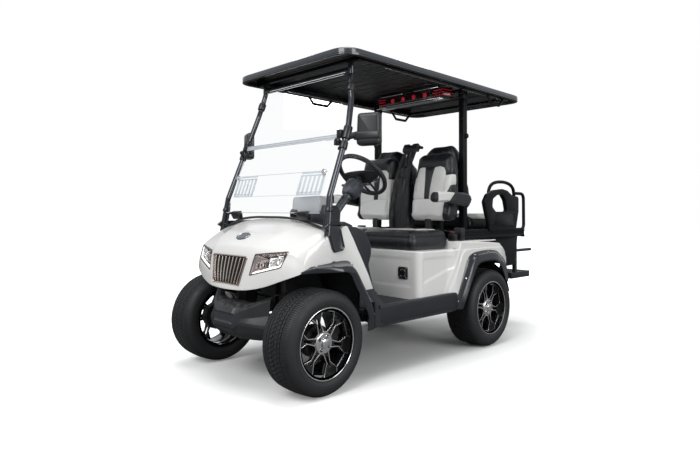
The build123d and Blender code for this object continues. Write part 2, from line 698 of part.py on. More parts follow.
def body_tub():
    """Seat box and rear fenders as one hollow shell, open below and under the front cushion."""
    low = FLOOR_TOP
    shell = tub_form(0, low) - tub_form(TUB_WALL, low - 20)
    shell = shell - block(-440, 440, TUB_FRONT_Y + 70, CUSHION_REAR_Y - 70, 600, 900)
    arch = side_prism(arch_cut(from_rear_axle(REAR_FLARE_OUTER)), 380, 700)
    shell = shell - arch - mirrored(arch)
    shell = shell - block(-380, 380, TUB_REAR_Y - 60, TUB_REAR_Y + 40, 300, 600)
    return shell


# ---------------------------------------------------------------- seats
def front_cushion():
    """Bench cushion on the seat box."""
    body = block(-CUSHION_HALF_W, CUSHION_HALF_W, TUB_FRONT_Y + 8, CUSHION_REAR_Y, TUB_SEAT_Z, CUSHION_TOP)
    return fillet(body.edges().filter_by(Axis.Z) + body.edges().group_by(Axis.Z)[-1], radius=34)


def front_seatbacks():
    """Two front-facing backs on their brackets."""
    back = side_prism(BACK_SIDE, 98, 492)
    outline = front_prism([(118, 925), (470, 925), (496, 1010), (486, 1270), (440, 1420), (400, 1462),
                           (190, 1462),
                           (146, 1420), (96, 1270), (96, 980)], 1200, 1600)
    back = back & outline
    bracket = block(250, 300, 1340, 1380, TUB_DECK_Z, 930) + block(250, 300, 1340, 1378, 925, 1000)
    return both_sides(solid_of(back + bracket))


def seat_divider():
    """Padded hump between the backs, with the belt tower on top."""
    front = CUSHION_REAR_Y + 2
    hump = side_prism([(front, TUB_DECK_Z), (front, 960), (1350, 1150), (1392, 1395), (1470, 1395),
                       (1462, TUB_DECK_Z)], -86, 86)
    tower = block(-74, 74, 1400, 1462, 1390, 1548)
    tower = fillet(tower.edges().filter_by(Axis.Y).group_by(Axis.Z)[-1], radius=24)
    return solid_of(hump + tower)


def front_belts():
    """Two taut belts from the tower down to the middle of the bench."""
    return both_sides(side_prism([(1399.5, 1520), (1396, 1520), (1312, 1000), (1312, CUSHION_TOP + 0.5),
                                  (1315.5, CUSHION_TOP + 0.5), (1315.5, 1000)], 26, 72))


def rear_seatbacks():
    """Two rear-facing backs, one behind each front back."""
    side = [(1486, 1030), (1486, 1500), (1500, 1524), (1545, 1524), (1660, 1300), (1768, 1140), (1768, 1060),
            (1700, 1010), (1540, 1000)]
    pad = side_prism(side, 20, 416)
    outline = front_prism([(20, 1000), (416, 1000), (416, 1440), (380, 1524), (80, 1524), (20, 1470)], 1400,
                          1800)
    bracket = block(200, 240, 1560, 1600, TUB_DECK_Z, 1040)
    return both_sides(solid_of((pad & outline) + bracket))


def rear_cushion():
    """Rear seat cushion on its flip board, with the hinge sleeves."""
    board = block(-372, 372, 1790, FLIP_REAR_Y, DECK_TOP + SEAT_GAP, DECK_TOP + 14)
    pad = block(-368, 368, 1794, FLIP_REAR_Y - 4, DECK_TOP + 14, DECK_TOP + 132)
    pad = fillet(pad.edges().group_by(Axis.Z)[-1], radius=30)
    cushion = board + pad
    for side in (1, -1):
        leaf = block(side * FLIP_INNER_X, side * FLIP_OUTER_X, FLIP_REAR_Y - 10, FLIP_Y, FLIP_Z - 6, FLIP_Z)
        sleeve = rod((side * FLIP_INNER_X, FLIP_Y, FLIP_Z), (side * FLIP_OUTER_X, FLIP_Y, FLIP_Z),
                     FLIP_SLEEVE_R)
        bore = rod((side * 200, FLIP_Y, FLIP_Z), (side * 320, FLIP_Y, FLIP_Z), FLIP_PIN_R + SEAT_GAP)
        cushion = cushion + leaf + sleeve - bore
    return solid_of(cushion)


def armrest():
    """Left front armrest: padded arm round its pivot at the rear."""
    pad = side_prism([(1052, 1090), (1062, 1150), (1100, 1166), (1440, 1166), (1512, 1150), (1530, 1110),
                      (1505, 1062), (1440, 1050), (1240, 1078), (1070, 1078)], ARM_INNER_X, ARM_INNER_X + 62)
    return pad - rod((400, ARM_PIVOT_Y, ARM_PIVOT_Z), (700, ARM_PIVOT_Y, ARM_PIVOT_Z), ARM_PIN_R + SEAT_GAP)


# ---------------------------------------------------------------- rear deck
def rear_pillars():
    """Square rear roof posts on their feet."""
    inner = REAR_POST_X - REAR_POST_HALF
    outer = REAR_POST_X + REAR_POST_HALF
    post = block(inner, outer, REAR_POST_Y - REAR_POST_HALF, REAR_POST_Y + REAR_POST_HALF, TUB_DECK_Z,
                 ROOF_RIM_Z)
    foot = block(inner, outer, REAR_POST_Y - 70, REAR_POST_Y + 70, TUB_DECK_Z, DECK_BOTTOM)
    return both_sides(solid_of(post + foot))


def deck_frame():
    """Deck rails and plate, the hoops over them, the rear posts and their stub bars."""
    inner = DECK_X - DECK_RAIL_T
    pieces = []
    for side in (1, -1):
        pieces.append(block(side * inner, side * DECK_X, DECK_FRONT_Y, DECK_REAR_Y, DECK_BOTTOM, DECK_TOP))
    for station in (1640, DECK_REAR_Y - 34):
        pieces.append(block(-inner, inner, station, station + 34, DECK_BOTTOM, DECK_TOP - 2))
    pieces.append(block(-inner, inner, 1640, DECK_REAR_Y, DECK_TOP - 8, DECK_TOP))
    pieces.append(block(20 - inner, inner - 20, 1644, 1670, TUB_DECK_Z, DECK_BOTTOM + 4))
    for side in (1, -1):
        pin = rod((side * (FLIP_INNER_X - 30), FLIP_Y, FLIP_Z), (side * (FLIP_OUTER_X + 30), FLIP_Y, FLIP_Z),
                  FLIP_PIN_R)
        pieces.append(pin)
        for inner_x in (FLIP_INNER_X - 30, FLIP_OUTER_X + 6):
            pieces.append(block(side * inner_x, side * (inner_x + 24), FLIP_Y - 10, FLIP_Y + 12, DECK_TOP - 4,
                                FLIP_Z + 10))
        hoop = bent_tube([(side * 440, 1830, DECK_TOP - 3), (side * 440, 1870, 1262),
                          (side * 440, 2230, 1262),
                          (side * 440, 2300, DECK_TOP - 3)], TUBE_R, 70)
        rear_hoop = bent_tube([(side * x, y, z) for x, y, z in REAR_HOOP_PATH], TUBE_R, 40)
        pieces.append(hoop)
        pieces.append(rear_hoop)
    return solid_of(fuse(pieces))


def rear_armrests():
    """Moulded armrests, each with a loop to hold."""
    outer = [(1830, DECK_TOP + 0.3), (1770, 980), (1772, 1080), (1850, 1190), (1960, 1232), (2100, 1232),
             (2240, 1170), (2330, 1060), (2340, DECK_TOP + 0.3)]
    loop = [(1852, 1050), (1862, 1110), (1930, 1168), (2020, 1186), (2120, 1178), (2210, 1120), (2262, 1040),
            (2250, 1030), (1900, 1030)]
    arm = side_prism(outer, 462, 520) - side_prism(loop, 400, 600)
    arm = arm - bent_tube(REAR_HOOP_PATH, TUBE_R + SEAT_GAP, 40)
    return both_sides(solid_of(arm))


def footplate():
    """Footplate on its arms from the chassis, with the uprights and their stub bars."""
    pieces = [block(-FOOT_HALF_W, FOOT_HALF_W, FOOT_FRONT_Y, FOOT_REAR_Y, FOOT_BOTTOM, FOOT_TOP)]
    bar_front = UPRIGHT_Y - UPRIGHT_HALF
    bar_rear = UPRIGHT_Y + UPRIGHT_HALF
    arm_low = RAIL_BOTTOM + 30
    arm_inner = RAIL_X - 30
    shoe_x = RAIL_X + RAIL_W / 2 + 12
    for side in (1, -1):
        pieces.append(block(side * (UPRIGHT_X - UPRIGHT_HALF),
                            side * (UPRIGHT_X + UPRIGHT_HALF), bar_front, bar_rear,
                            FOOT_TOP - 10, DECK_BOTTOM))
        pieces.append(rod((side * UPRIGHT_X, UPRIGHT_Y, STUB_BAR_Z), (side * UPRIGHT_X, REAR_STATION,
                                                                      STUB_BAR_Z),
                          TUBE_R))
        pieces.append(block(side * arm_inner, side * (RAIL_X + 30), CHASSIS_REAR_Y - 18, bar_rear, arm_low,
                            FOOT_BOTTOM))
        pieces.append(block(side * (RAIL_X + RAIL_W / 2),
                            side * shoe_x, CHASSIS_REAR_Y - 20, CHASSIS_REAR_Y + 40,
                            arm_low, RAIL_TOP))
        pieces.append(block(side * arm_inner, side * shoe_x, CHASSIS_REAR_Y, CHASSIS_REAR_Y + 40, arm_low,
                            FOOT_BOTTOM))
    step = fuse(pieces)
    for side in (1, -1):
        for station in (FOOT_HOLE_Y - FOOT_HOLE_DY / 2, FOOT_HOLE_Y + FOOT_HOLE_DY / 2):
            x = side * FOOT_HOLE_DX / 2
            step = step - rod((x, station, FOOT_BOTTOM - 40), (x, station, FOOT_TOP + 40), FOOT_HOLE_R)
    chassis = block(-RAIL_X - RAIL_W / 2, RAIL_X + RAIL_W / 2, CHASSIS_REAR_Y - 180, CHASSIS_REAR_Y,
                    RAIL_BOTTOM,
                    RAIL_TOP)
    return solid_of(step - chassis)


def rear_valance():
    """Black lower panel between the rear fenders, open at the bottom and the front."""
    front = TUB_REAR_Y + 2
    solid = side_prism([(front, 620), (front, DECK_BOTTOM), (2398, DECK_BOTTOM), (2350, 560), (2190, 556)],
                       -452, 452)
    hollow = side_prism([(front - 12, 540), (front - 12, DECK_BOTTOM - 8), (2360, DECK_BOTTOM - 8),
                         (2340, 568),
                         (2340, 540)], -444, 444)
    reach = UPRIGHT_HALF + SEAT_GAP
    bars = block(UPRIGHT_X - reach, UPRIGHT_X + reach, UPRIGHT_Y - reach, 2410, 400, 900)
    return solid_of(solid - hollow - bars - mirrored(bars))


# ---------------------------------------------------------------- roof
def roof_outline(inset, z):
    """Rounded rectangle of the roof, at a height."""
    width = 2 * (ROOF_HALF_W - inset)
    length = ROOF_REAR_Y - ROOF_FRONT_Y - 2 * inset
    middle = (ROOF_REAR_Y + ROOF_FRONT_Y) / 2
    return Pos(0, middle, z) * RectangleRounded(width, length, ROOF_CORNER - inset / 2)


def roof():
    """Canopy with its rim band and crowned top, hollow below."""
    top_z = ROOF_RIM_Z + ROOF_BAND
    band = loft([roof_outline(0, ROOF_RIM_Z), roof_outline(10, top_z)])
    crown = loft([roof_outline(10, top_z), roof_outline(150, top_z + ROOF_CROWN)], ruled=True)
    cavity = loft([roof_outline(24, ROOF_RIM_Z - 1), roof_outline(40, top_z - ROOF_SKIN)], ruled=True)
    ceiling = loft([roof_outline(40, top_z - ROOF_SKIN), roof_outline(160, top_z + ROOF_CROWN - ROOF_SKIN)],
                   ruled=True)
    return solid_of(band + crown - cavity - ceiling)


def roof_rails():
    """Side rails under the roof, cross bars to the posts, and the grab handles."""
    pieces = []
    rail_z = ROOF_RIM_Z + 2
    rail_top = ROOF_RIM_Z + ROOF_BAND - ROOF_SKIN + 0.5
    inner = ROOF_HALF_W - 73
    outer = ROOF_HALF_W - 43
    for side in (1, -1):
        pieces.append(block(side * inner, side * outer, 330, 2110, rail_z, rail_top))
        pieces.append(block(side * 425, side * outer, 330, 372, ROOF_RIM_Z - 8, rail_z + 20))
        pieces.append(block(side * 415, side * outer, 1540, 1600, ROOF_RIM_Z, rail_z + 20))
        # columns: handle's first station, last station
        for first, last in ((800, 1040), (1660, 2060)):
            if side > 0 and first < 1000:
                continue
            dip = ROOF_RIM_Z - 44
            x = side * (inner + 10)
            pieces.append(bent_tube([(x, first, rail_z + 6), (x, first + 45, dip), (x, last - 45, dip),
                                     (x, last, rail_z + 6)], 9, 20))
    for station in (351, REAR_POST_Y, 2095):
        pieces.append(block(-inner, inner, station - 15, station + 15, rail_z + 4, rail_z + 26))
    return solid_of(fuse(pieces))


def sound_bar():
    """Light and speaker bar under the roof, with its hangers."""
    bar = block(-392, 392, 1430, 1530, ROOF_RIM_Z - 78, ROOF_RIM_Z - 10)
    bar = chamfer(bar.edges().filter_by(Axis.X), length=14)
    hangers = [block(x - 20, x + 20, 1500, REAR_POST_Y - 15, ROOF_RIM_Z - 15,
                     ROOF_RIM_Z + 26) for x in (-250, 250)]
    return solid_of(fuse([bar] + hangers))


# ---------------------------------------------------------------- assembly
def as_list(shape):
    """A node's solids."""
    return shape if isinstance(shape, (list, tuple)) else [shape]


def assemble():
    """Every node by name."""
    pin = rod((480, ARM_PIVOT_Y, ARM_PIVOT_Z), (ARM_INNER_X + 66, ARM_PIVOT_Y, ARM_PIVOT_Z), ARM_PIN_R)
    backs = front_seatbacks()
    backs = [solid_of(backs[0] + pin), solid_of(backs[1] + mirrored(pin))]
    nodes = {
        "chassis_frame": chassis_frame(),
        "front_axle": front_axle(),
        "rear_axle": rear_axle(),
        "battery_pack": battery_pack(),
        "floor_pan": floor_pan(),
        "cowl": cowl(),
        "grille": grille(),
        "headlights": headlights(),
        "front_bumper": front_bumper(),
        "fender_flares": fender_flares(),
        "leg_guards": leg_guards(),
        "dashboard": dashboard(),
        "front_pillars": front_pillars(),
        "windshield": windshield(),
        "mirrors": mirrors(),
        "steering_column": steering_column(),
        "body_tub": body_tub(),
        "front_cushion": front_cushion(),
        "front_seatbacks": backs,
        "seat_divider": seat_divider(),
        "front_belts": front_belts(),
        "rear_seatbacks": rear_seatbacks(),
        "rear_pillars": rear_pillars(),
        "roof": roof(),
        "roof_rails": roof_rails(),
        "sound_bar": sound_bar(),
        "deck_frame": deck_frame(),
        "rear_armrests": rear_armrests(),
        "footplate": footplate(),
        "rear_valance": rear_valance(),
        "knuckle_left": knuckle(1),
        "knuckle_right": knuckle(-1),
        "steering_wheel": steering_wheel(),
        "armrest_left": armrest(),
        "armrest_right": mirrored(armrest()),
        "rear_cushion": rear_cushion(),
    }
    rim = rim_solid()
    tyre = tyre_solid()
    # columns: corner, side, station
    for corner, side, station in (("front_left", 1, 0), ("front_right", -1, 0),
                                  ("rear_left", 1, WHEELBASE), ("rear_right", -1, WHEELBASE)):
        nodes["rim_" + corner] = wheel_place(side, station) * rim
        nodes["tyre_" + corner] = wheel_place(side, station) * tyre
    return nodes


def write(nodes):
    """One STEP file for each node, in the cart's frame."""
    os.makedirs("parts", exist_ok=True)
    for name, shape in nodes.items():
        solids = []
        for piece in as_list(shape):
            solids.extend((TO_FRAME * piece).solids())
        export_step(solids[0] if len(solids) == 1 else Compound(children=solids), "parts/" + name + ".step")


write(assemble())
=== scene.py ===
"""Dresses a four-seat golf cart: paint, glass, upholstery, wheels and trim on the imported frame."""

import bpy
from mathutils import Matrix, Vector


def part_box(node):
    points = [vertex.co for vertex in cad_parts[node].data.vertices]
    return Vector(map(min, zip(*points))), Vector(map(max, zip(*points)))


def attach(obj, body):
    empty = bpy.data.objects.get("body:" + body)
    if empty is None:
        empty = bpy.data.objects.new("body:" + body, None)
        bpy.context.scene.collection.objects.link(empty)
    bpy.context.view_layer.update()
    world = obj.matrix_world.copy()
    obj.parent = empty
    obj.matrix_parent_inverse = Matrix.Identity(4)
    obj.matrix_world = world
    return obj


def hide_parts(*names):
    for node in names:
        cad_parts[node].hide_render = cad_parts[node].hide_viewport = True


bl_info = {
    "name": "Four-seat golf cart",
    "version": (1, 0, 0),
    "blender": (4, 5, 0),
    "location": "3D View > Sidebar > Golf cart",
    "description": "Builds the visible pieces of a four-seat golf cart on its CAD frame",
    "category": "Object",
}

from math import cos, pi, radians, sin

import bmesh
import bpy
import numpy as np
from bpy.props import FloatProperty, FloatVectorProperty, PointerProperty
from mathutils import Matrix, Vector
from mathutils.bvhtree import BVHTree

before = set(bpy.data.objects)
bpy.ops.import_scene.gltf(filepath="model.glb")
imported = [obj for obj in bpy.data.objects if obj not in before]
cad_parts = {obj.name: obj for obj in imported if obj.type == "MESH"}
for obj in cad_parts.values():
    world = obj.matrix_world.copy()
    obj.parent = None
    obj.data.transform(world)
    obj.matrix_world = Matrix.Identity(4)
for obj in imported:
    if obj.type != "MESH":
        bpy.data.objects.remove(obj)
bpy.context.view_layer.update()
MM = 0.001
FINE_WELD = 0.02             # mm below which points of a copied or wheel mesh are one
FLAT_ANGLE = 0.6             # degrees below which neighbouring faces of a CAD copy are one
SHELL_LEVELS = 3             # subdivision of the front shell and the bumper
rim_low, rim_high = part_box("rim_front_left")
AXLE = (rim_low + rim_high) / 2          # middle of the left front wheel
REAR_AXLE_Y = (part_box("rim_rear_left")[0].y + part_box("rim_rear_left")[1].y) / 2
WHEELBASE = (REAR_AXLE_Y - AXLE.y) / MM
WHEEL_X = AXLE.x / MM
WHEEL_Z = AXLE.z / MM
FINISHES = {}


# ---------------------------------------------------------------- mesh helpers
def to_frame(point):
    """Point given in mm, with y counted aft from the front axle, as a point of the frame."""
    return Vector((point[0] * MM, AXLE.y + point[1] * MM, point[2] * MM))


def lerp(a, b, share):
    """Value or point at a share of the way from a to b."""
    if isinstance(a, (int, float)):
        return a + (b - a) * share
    return tuple(p + (q - p) * share for p, q in zip(a, b))


def smooth(share):
    """Share from 0 to 1 eased at both ends."""
    share = min(max(share, 0), 1)
    return share * share * (3 - 2 * share)


def table_value(rows, at):
    """Straight-line value at a place, from (place, value) rows in rising order."""
    if at <= rows[0][0]:
        return rows[0][1]
    for (a, low), (b, high) in zip(rows, rows[1:]):
        if at <= b:
            return lerp(low, high, (at - a) / (b - a))
    return rows[-1][1]


def rounded_path(points, bend, steps=6, closed=False):
    """Path through points with each corner rounded by up to the bend radius."""
    points = [Vector(p) for p in points]
    count = len(points)
    path = []
    for i, corner in enumerate(points):
        if not closed and i in (0, count - 1):
            path.append(corner)
            continue
        before = points[i - 1] - corner
        after = points[(i + 1) % count] - corner
        angle = before.angle(after, pi)
        if angle > pi - 0.02:
            path.append(corner)
            continue
        reach = min(bend / max(sin(angle / 2) / cos(angle / 2), 1e-3), before.length * 0.49, after.length * 0.49)
        start = corner + before.normalized() * reach
        end = corner + after.normalized() * reach
        for step in range(steps + 1):
            t = step / steps
            path.append(start * (1 - t) ** 2 + corner * 2 * t * (1 - t) + end * t * t)
    return path


def ellipse(width, height, sides):
    """Closed ring of (u, v) points round an ellipse."""
    return [(width / 2 * cos(2 * pi * i / sides), height / 2 * sin(2 * pi * i / sides)) for i in range(sides)]


def rectangle(u0, u1, v0, v1):
    """Corners of a rectangle, as (u, v)."""
    return [(u0, v0), (u1, v0), (u1, v1), (u0, v1)]


def placed(name, data):
    """Object of the data, in the scene."""
    made = bpy.data.objects.new(name, data)
    bpy.context.scene.collection.objects.link(made)
    return made


def built_mesh(name, points, faces, finishes, materials, weld):
    """Mesh of points in metres, welded below a distance in mm, its normals outwards."""
    data = bpy.data.meshes.new(name)
    data.from_pydata(points, [], faces)
    for material in materials:
        data.materials.append(material)
    data.polygons.foreach_set("material_index", finishes)
    work = bmesh.new()
    work.from_mesh(data)
    bmesh.ops.remove_doubles(work, verts=work.verts, dist=weld * MM)
    bmesh.ops.recalc_face_normals(work, faces=work.faces)
    work.to_mesh(data)
    work.free()
    return data


class Form:
    """Points and faces of one piece, in mm, with y counted aft from the front axle."""

    def __init__(self):
        self.points = []
        self.faces = []
        self.finishes = []

    def add(self, points, faces, finish=0):
        base = len(self.points)
        self.points.extend(tuple(p) for p in points)
        self.faces.extend(tuple(base + i for i in face) for face in faces)
        self.finishes.extend([finish] * len(faces))
        return self

    def loft(self, rings, finish=0, closed=True, caps=True):
        """Skin over rings of equally many points."""
        count = len(rings[0])
        faces = []
        for row in range(len(rings) - 1):
            for i in range(count if closed else count - 1):
                j = (i + 1) % count
                faces.append((row * count + i, row * count + j, (row + 1) * count + j, (row + 1) * count + i))
        if caps and closed:
            last = (len(rings) - 1) * count
            faces.append(tuple(reversed(range(count))))
            faces.append(tuple(last + i for i in range(count)))
        return self.add([p for ring in rings for p in ring], faces, finish)

    def prism(self, outline, axis, low, high, finish=0):
        """Outline of two coordinates, between two heights on the axis left out."""
        return self.layers(axis, [(low, outline), (high, outline)], finish)

    def layers(self, axis, rows, finish=0, caps=True):
        """Skin over rows of a height on the axis and an outline of the other two coordinates."""
        spot = "xyz".index(axis)
        return self.loft([[tuple(p[:spot]) + (level,) + tuple(p[spot:]) for p in outline]
                          for level, outline in rows], finish, caps=caps)

    def block(self, x0, x1, y0, y1, z0, z1, finish=0):
        return self.prism(rectangle(x0, x1, y0, y1), "z", z0, z1, finish)

    def tube(self, path, width, height=None, sides=14, finish=0, up=(0, 0, 1), closed=False):
        """Oval bar along a path; height is measured towards up."""
        path = [Vector(p) for p in path]
        count = len(path)
        rings = []
        for i, point in enumerate(path):
            ahead = path[(i + 1) % count] if closed or i < count - 1 else point
            behind = path[i - 1] if closed or i > 0 else point
            along = (ahead - behind).normalized()
            across = along.cross(Vector(up)).normalized()
            rise = across.cross(along)
            rings.append([point + across * u + rise * v for u, v in ellipse(width, height or width, sides)])
        if closed:
            rings.append(rings[0])
        return self.loft(rings, finish, caps=not closed)

    def turned(self, profile, centre, axis, steps=40, finish=0, closed=False, caps=True):
        """Revolve (along, radius) points about an axis through the centre."""
        axis = Vector(axis).normalized()
        side = axis.orthogonal().normalized()
        other = axis.cross(side)
        rings = []
        for along, radius in profile:
            middle = Vector(centre) + axis * along
            rings.append([middle + (side * cos(2 * pi * i / steps) + other * sin(2 * pi * i / steps)) * radius
                          for i in range(steps)])
        if closed:
            rings.append(rings[0])
        return self.loft(rings, finish, caps=caps and not closed)

    def mirror(self):
        """Adds the same form on the other side of the cart."""
        finishes = list(self.finishes)
        self.add([(-p[0], p[1], p[2]) for p in self.points], [tuple(reversed(face)) for face in self.faces])
        self.finishes[len(finishes):] = finishes
        return self

    def mesh(self, name, materials, weld=0.05):
        """Plain mesh object of this form."""
        points = [to_frame(p) for p in self.points]
        return placed(name, built_mesh(name, points, self.faces, self.finishes, materials, weld))

    def make(self, name, finish, slot, body="cart", **edges):
        """Finished piece of this form in one finish, with edges as for finish_piece."""
        return finish_piece(self.mesh(name, [FINISHES[finish]]), body, slot, **edges)


def apply_modifiers(piece):
    """Replaces the piece's mesh by what its modifiers make of it."""
    bpy.context.view_layer.update()
    made = bpy.data.meshes.new_from_object(piece.evaluated_get(bpy.context.evaluated_depsgraph_get()))
    piece.modifiers.clear()
    piece.data = made
    return piece


def finish_piece(piece, body, slot=None, bevel=0, wall=0, angle=35, bevel_steps=2):
    """Gives the piece its wall, bevels and shading, and rides it on its body."""
    if wall:
        solid = piece.modifiers.new("Wall", "SOLIDIFY")
        solid.thickness = wall * MM
        solid.offset = -1
        solid.use_even_offset = True
    if bevel:
        edge = piece.modifiers.new("Edges", "BEVEL")
        edge.width = bevel * MM
        edge.segments = bevel_steps
        edge.limit_method = "ANGLE"
        edge.angle_limit = radians(30)
        edge.harden_normals = False
    if piece.modifiers:
        apply_modifiers(piece)
    piece.data.polygons.foreach_set("use_smooth", [True] * len(piece.data.polygons))
    piece.data.set_sharp_from_angle(angle=radians(angle))
    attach(piece, body)
    return piece


def subdivided(piece, levels):
    """Smooths a piece by subdivision."""
    smoother = piece.modifiers.new("Smooth", "SUBSURF")
    smoother.levels = smoother.render_levels = levels
    return apply_modifiers(piece)


def node_copy(node, name, materials):
    """Welded copy of a CAD node's mesh, its flat faces whole again."""
    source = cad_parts[node]
    work = bmesh.new()
    work.from_mesh(source.data)
    bmesh.ops.remove_doubles(work, verts=work.verts, dist=FINE_WELD * MM)
    bmesh.ops.dissolve_limit(work, angle_limit=radians(FLAT_ANGLE), verts=work.verts, edges=work.edges)
    data = bpy.data.meshes.new(name)
    work.to_mesh(data)
    work.free()
    data.materials.clear()
    for material in materials:
        data.materials.append(material)
    data.polygons.foreach_set("material_index", [0] * len(data.polygons))
    return placed(name, data)


def paint_nodes(material, *nodes):
    """Puts a material on CAD nodes that are shown as they are."""
    for node in nodes:
        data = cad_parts[node].data
        data.materials.clear()
        data.materials.append(material)


def surface_finder(piece):
    """Finder of the first point of a piece that a line in mm meets, or None."""
    bpy.context.view_layer.update()
    tree = BVHTree.FromObject(piece, bpy.context.evaluated_depsgraph_get())

    def find(start, direction):
        hit = tree.ray_cast(to_frame(start), Vector(direction).normalized())[0]
        if hit is None:
            return None
        return Vector((hit.x / MM, (hit.y - AXLE.y) / MM, hit.z / MM))
    return find


# ---------------------------------------------------------------- finishes
class Finish:
    """One material and its nodes."""

    def __init__(self, name):
        self.material = bpy.data.materials.new(name)
        self.material.use_nodes = True
        self.tree = self.material.node_tree
        self.tree.nodes.clear()
        output = self.tree.nodes.new("ShaderNodeOutputMaterial")
        self.shader = self.tree.nodes.new("ShaderNodeBsdfPrincipled")
        self.tree.links.new(self.shader.outputs[0], output.inputs[0])
        self.place = self.tree.nodes.new("ShaderNodeTexCoord").outputs["Object"]

    def node(self, kind, inputs=None, **settings):
        made = self.tree.nodes.new("ShaderNode" + kind)
        for key, value in settings.items():
            setattr(made, key, value)
        for key, value in (inputs or {}).items():
            if isinstance(value, bpy.types.NodeSocket):
                self.tree.links.new(value, made.inputs[key])
            else:
                made.inputs[key].default_value = value
        return made

    def set(self, **values):
        """Sets constants or links on the shader, with _ for a space in the socket's name."""
        for key, value in values.items():
            socket = self.shader.inputs[key.replace("_", " ")]
            if isinstance(value, bpy.types.NodeSocket):
                self.tree.links.new(value, socket)
            else:
                socket.default_value = value
        return self

    def noise(self, size_mm, detail=2, vector=None, roughness=0.5):
        """Cloudy pattern with features of about that size, from 0 to 1."""
        made = self.node("TexNoise", {"Vector": vector or self.place, "Scale": 1 / (size_mm * MM), "Detail": detail,
                                      "Roughness": roughness})
        return made.outputs["Fac"]

    def math(self, operation, *values):
        return self.node("Math", dict(enumerate(values)), operation=operation).outputs[0]

    def ramp(self, value, low, high, to_low=0, to_high=1, kind="LINEAR"):
        """Value moved from one range to another and clamped."""
        return self.node("MapRange", {"Value": value, "From Min": low, "From Max": high, "To Min": to_low,
                                      "To Max": to_high}, interpolation_type=kind).outputs[0]

    def mix(self, share, a, b):
        """Colour between a and b."""
        made = self.node("Mix", {0: share, 6: a, 7: b}, data_type="RGBA")
        return made.outputs[2]

    def axes(self):
        """The three coordinates of a point in the frame, in metres."""
        return self.node("SeparateXYZ", {0: self.place}).outputs

    def bump(self, height, depth_mm, normal=None):
        inputs = {"Height": height, "Distance": depth_mm * MM, "Strength": 1.0}
        if normal:
            inputs["Normal"] = normal
        return self.node("Bump", inputs).outputs[0]

    def soft_edges(self, radius_mm):
        """Normal that rounds sharp edges a little."""
        return self.node("Bevel", {"Radius": radius_mm * MM}, samples=4).outputs[0]


def rgba(colour, level=1.0):
    return tuple(min(c * level, 1.0) for c in colour[:3]) + (1.0,)


def moulded(name, colour, rough, grain=0.5, depth=0.03, patch=90, vary=0.10, metallic=0.0, coat=0.0, edges=0.0,
            dust_and_sheen=0.0, shine=0.5):
    """Plastic or painted metal: cloudy tone and gloss over a fine moulded grain."""
    made = Finish(name)
    cloud = made.noise(patch, 3)
    colour_out = made.mix(cloud, rgba(colour, 1 - vary), rgba(colour, 1 + vary))
    # Up-facing faces are lightened toward grey in cloudy patches: real dirt on top, and on the bumper also a painted
    # sheen standing in for light from above.
    if dust_and_sheen:
        up = made.node("SeparateXYZ", {0: made.node("NewGeometry").outputs["Normal"]}).outputs[2]
        dust_and_sheen_share = made.math("MULTIPLY", made.ramp(up, 0.2, 1.0), made.ramp(made.noise(35, 4), 0.35, 0.75, 0, dust_and_sheen))
        colour_out = made.mix(dust_and_sheen_share, colour_out, (0.32, 0.31, 0.29, 1))
    fine = made.noise(grain, 2)
    made.set(Base_Color=colour_out, Metallic=metallic, Coat_Weight=coat, Coat_Roughness=0.05, Specular_IOR_Level=shine,
             Roughness=made.ramp(cloud, 0.3, 0.7, rough * 0.86, min(rough * 1.14, 1)))
    made.set(Normal=made.bump(fine, depth, made.soft_edges(edges) if edges else None))
    return made.material


def body_paint(name, colour):
    """Pale gloss paint under clear coat, with a faint orange peel."""
    made = Finish(name)
    cloud = made.noise(260, 2)
    made.set(Base_Color=made.mix(cloud, rgba(colour, 0.975), rgba(colour, 1.02)), Roughness=0.32, Coat_Weight=0.9,
             Coat_Roughness=0.04, Coat_IOR=1.5)
    made.set(Normal=made.bump(made.noise(9, 2), 0.02), Coat_Normal=made.bump(made.noise(14, 2), 0.03))
    return made.material


def leather(name, black, light, cell=2.6):
    """Grained seat cover; where the piece carries panel distances, light panels lie between pressed seams."""
    made = Finish(name)
    panel = made.node("Attribute", attribute_name="panel").outputs["Fac"]
    seam = made.node("Attribute", attribute_name="seam").outputs["Fac"]
    cells = made.node("TexVoronoi", {"Vector": made.place, "Scale": 1 / (cell * MM)}, feature="DISTANCE_TO_EDGE")
    pores = made.ramp(cells.outputs["Distance"], 0.0, 0.18)
    folds = made.noise(16, 4)
    light_part = made.ramp(panel, -0.35, 0.35)
    weave = made.node("TexVoronoi", {"Vector": made.place, "Scale": 1 / (1.5 * MM)}, feature="F1").outputs["Distance"]
    light_tone = made.mix(made.ramp(weave, 0.1, 0.6), rgba(light, 1.05), rgba(light, 0.84))
    black_tone = made.mix(made.noise(70, 3), rgba(black, 0.8), rgba(black, 1.25))
    tone = made.mix(light_part, black_tone, light_tone)
    groove = made.ramp(made.math("ABSOLUTE", seam), 0.0, 2.2)
    # Painted shade: along the pressed seams the colour is mixed 55 per cent toward black.
    tone = made.mix(groove, made.mix(0.55, tone, (0.0, 0.0, 0.0, 1)), tone)
    made.set(Base_Color=tone, Roughness=made.ramp(light_part, 0, 1, 0.28, 0.60), Sheen_Weight=0.1,
             Sheen_Roughness=0.4, Specular_IOR_Level=0.45)
    grain = made.math("ADD", pores, made.math("MULTIPLY", folds, 0.8))
    made.set(Normal=made.bump(grain, 0.16, made.bump(groove, 0.8)))
    return made.material


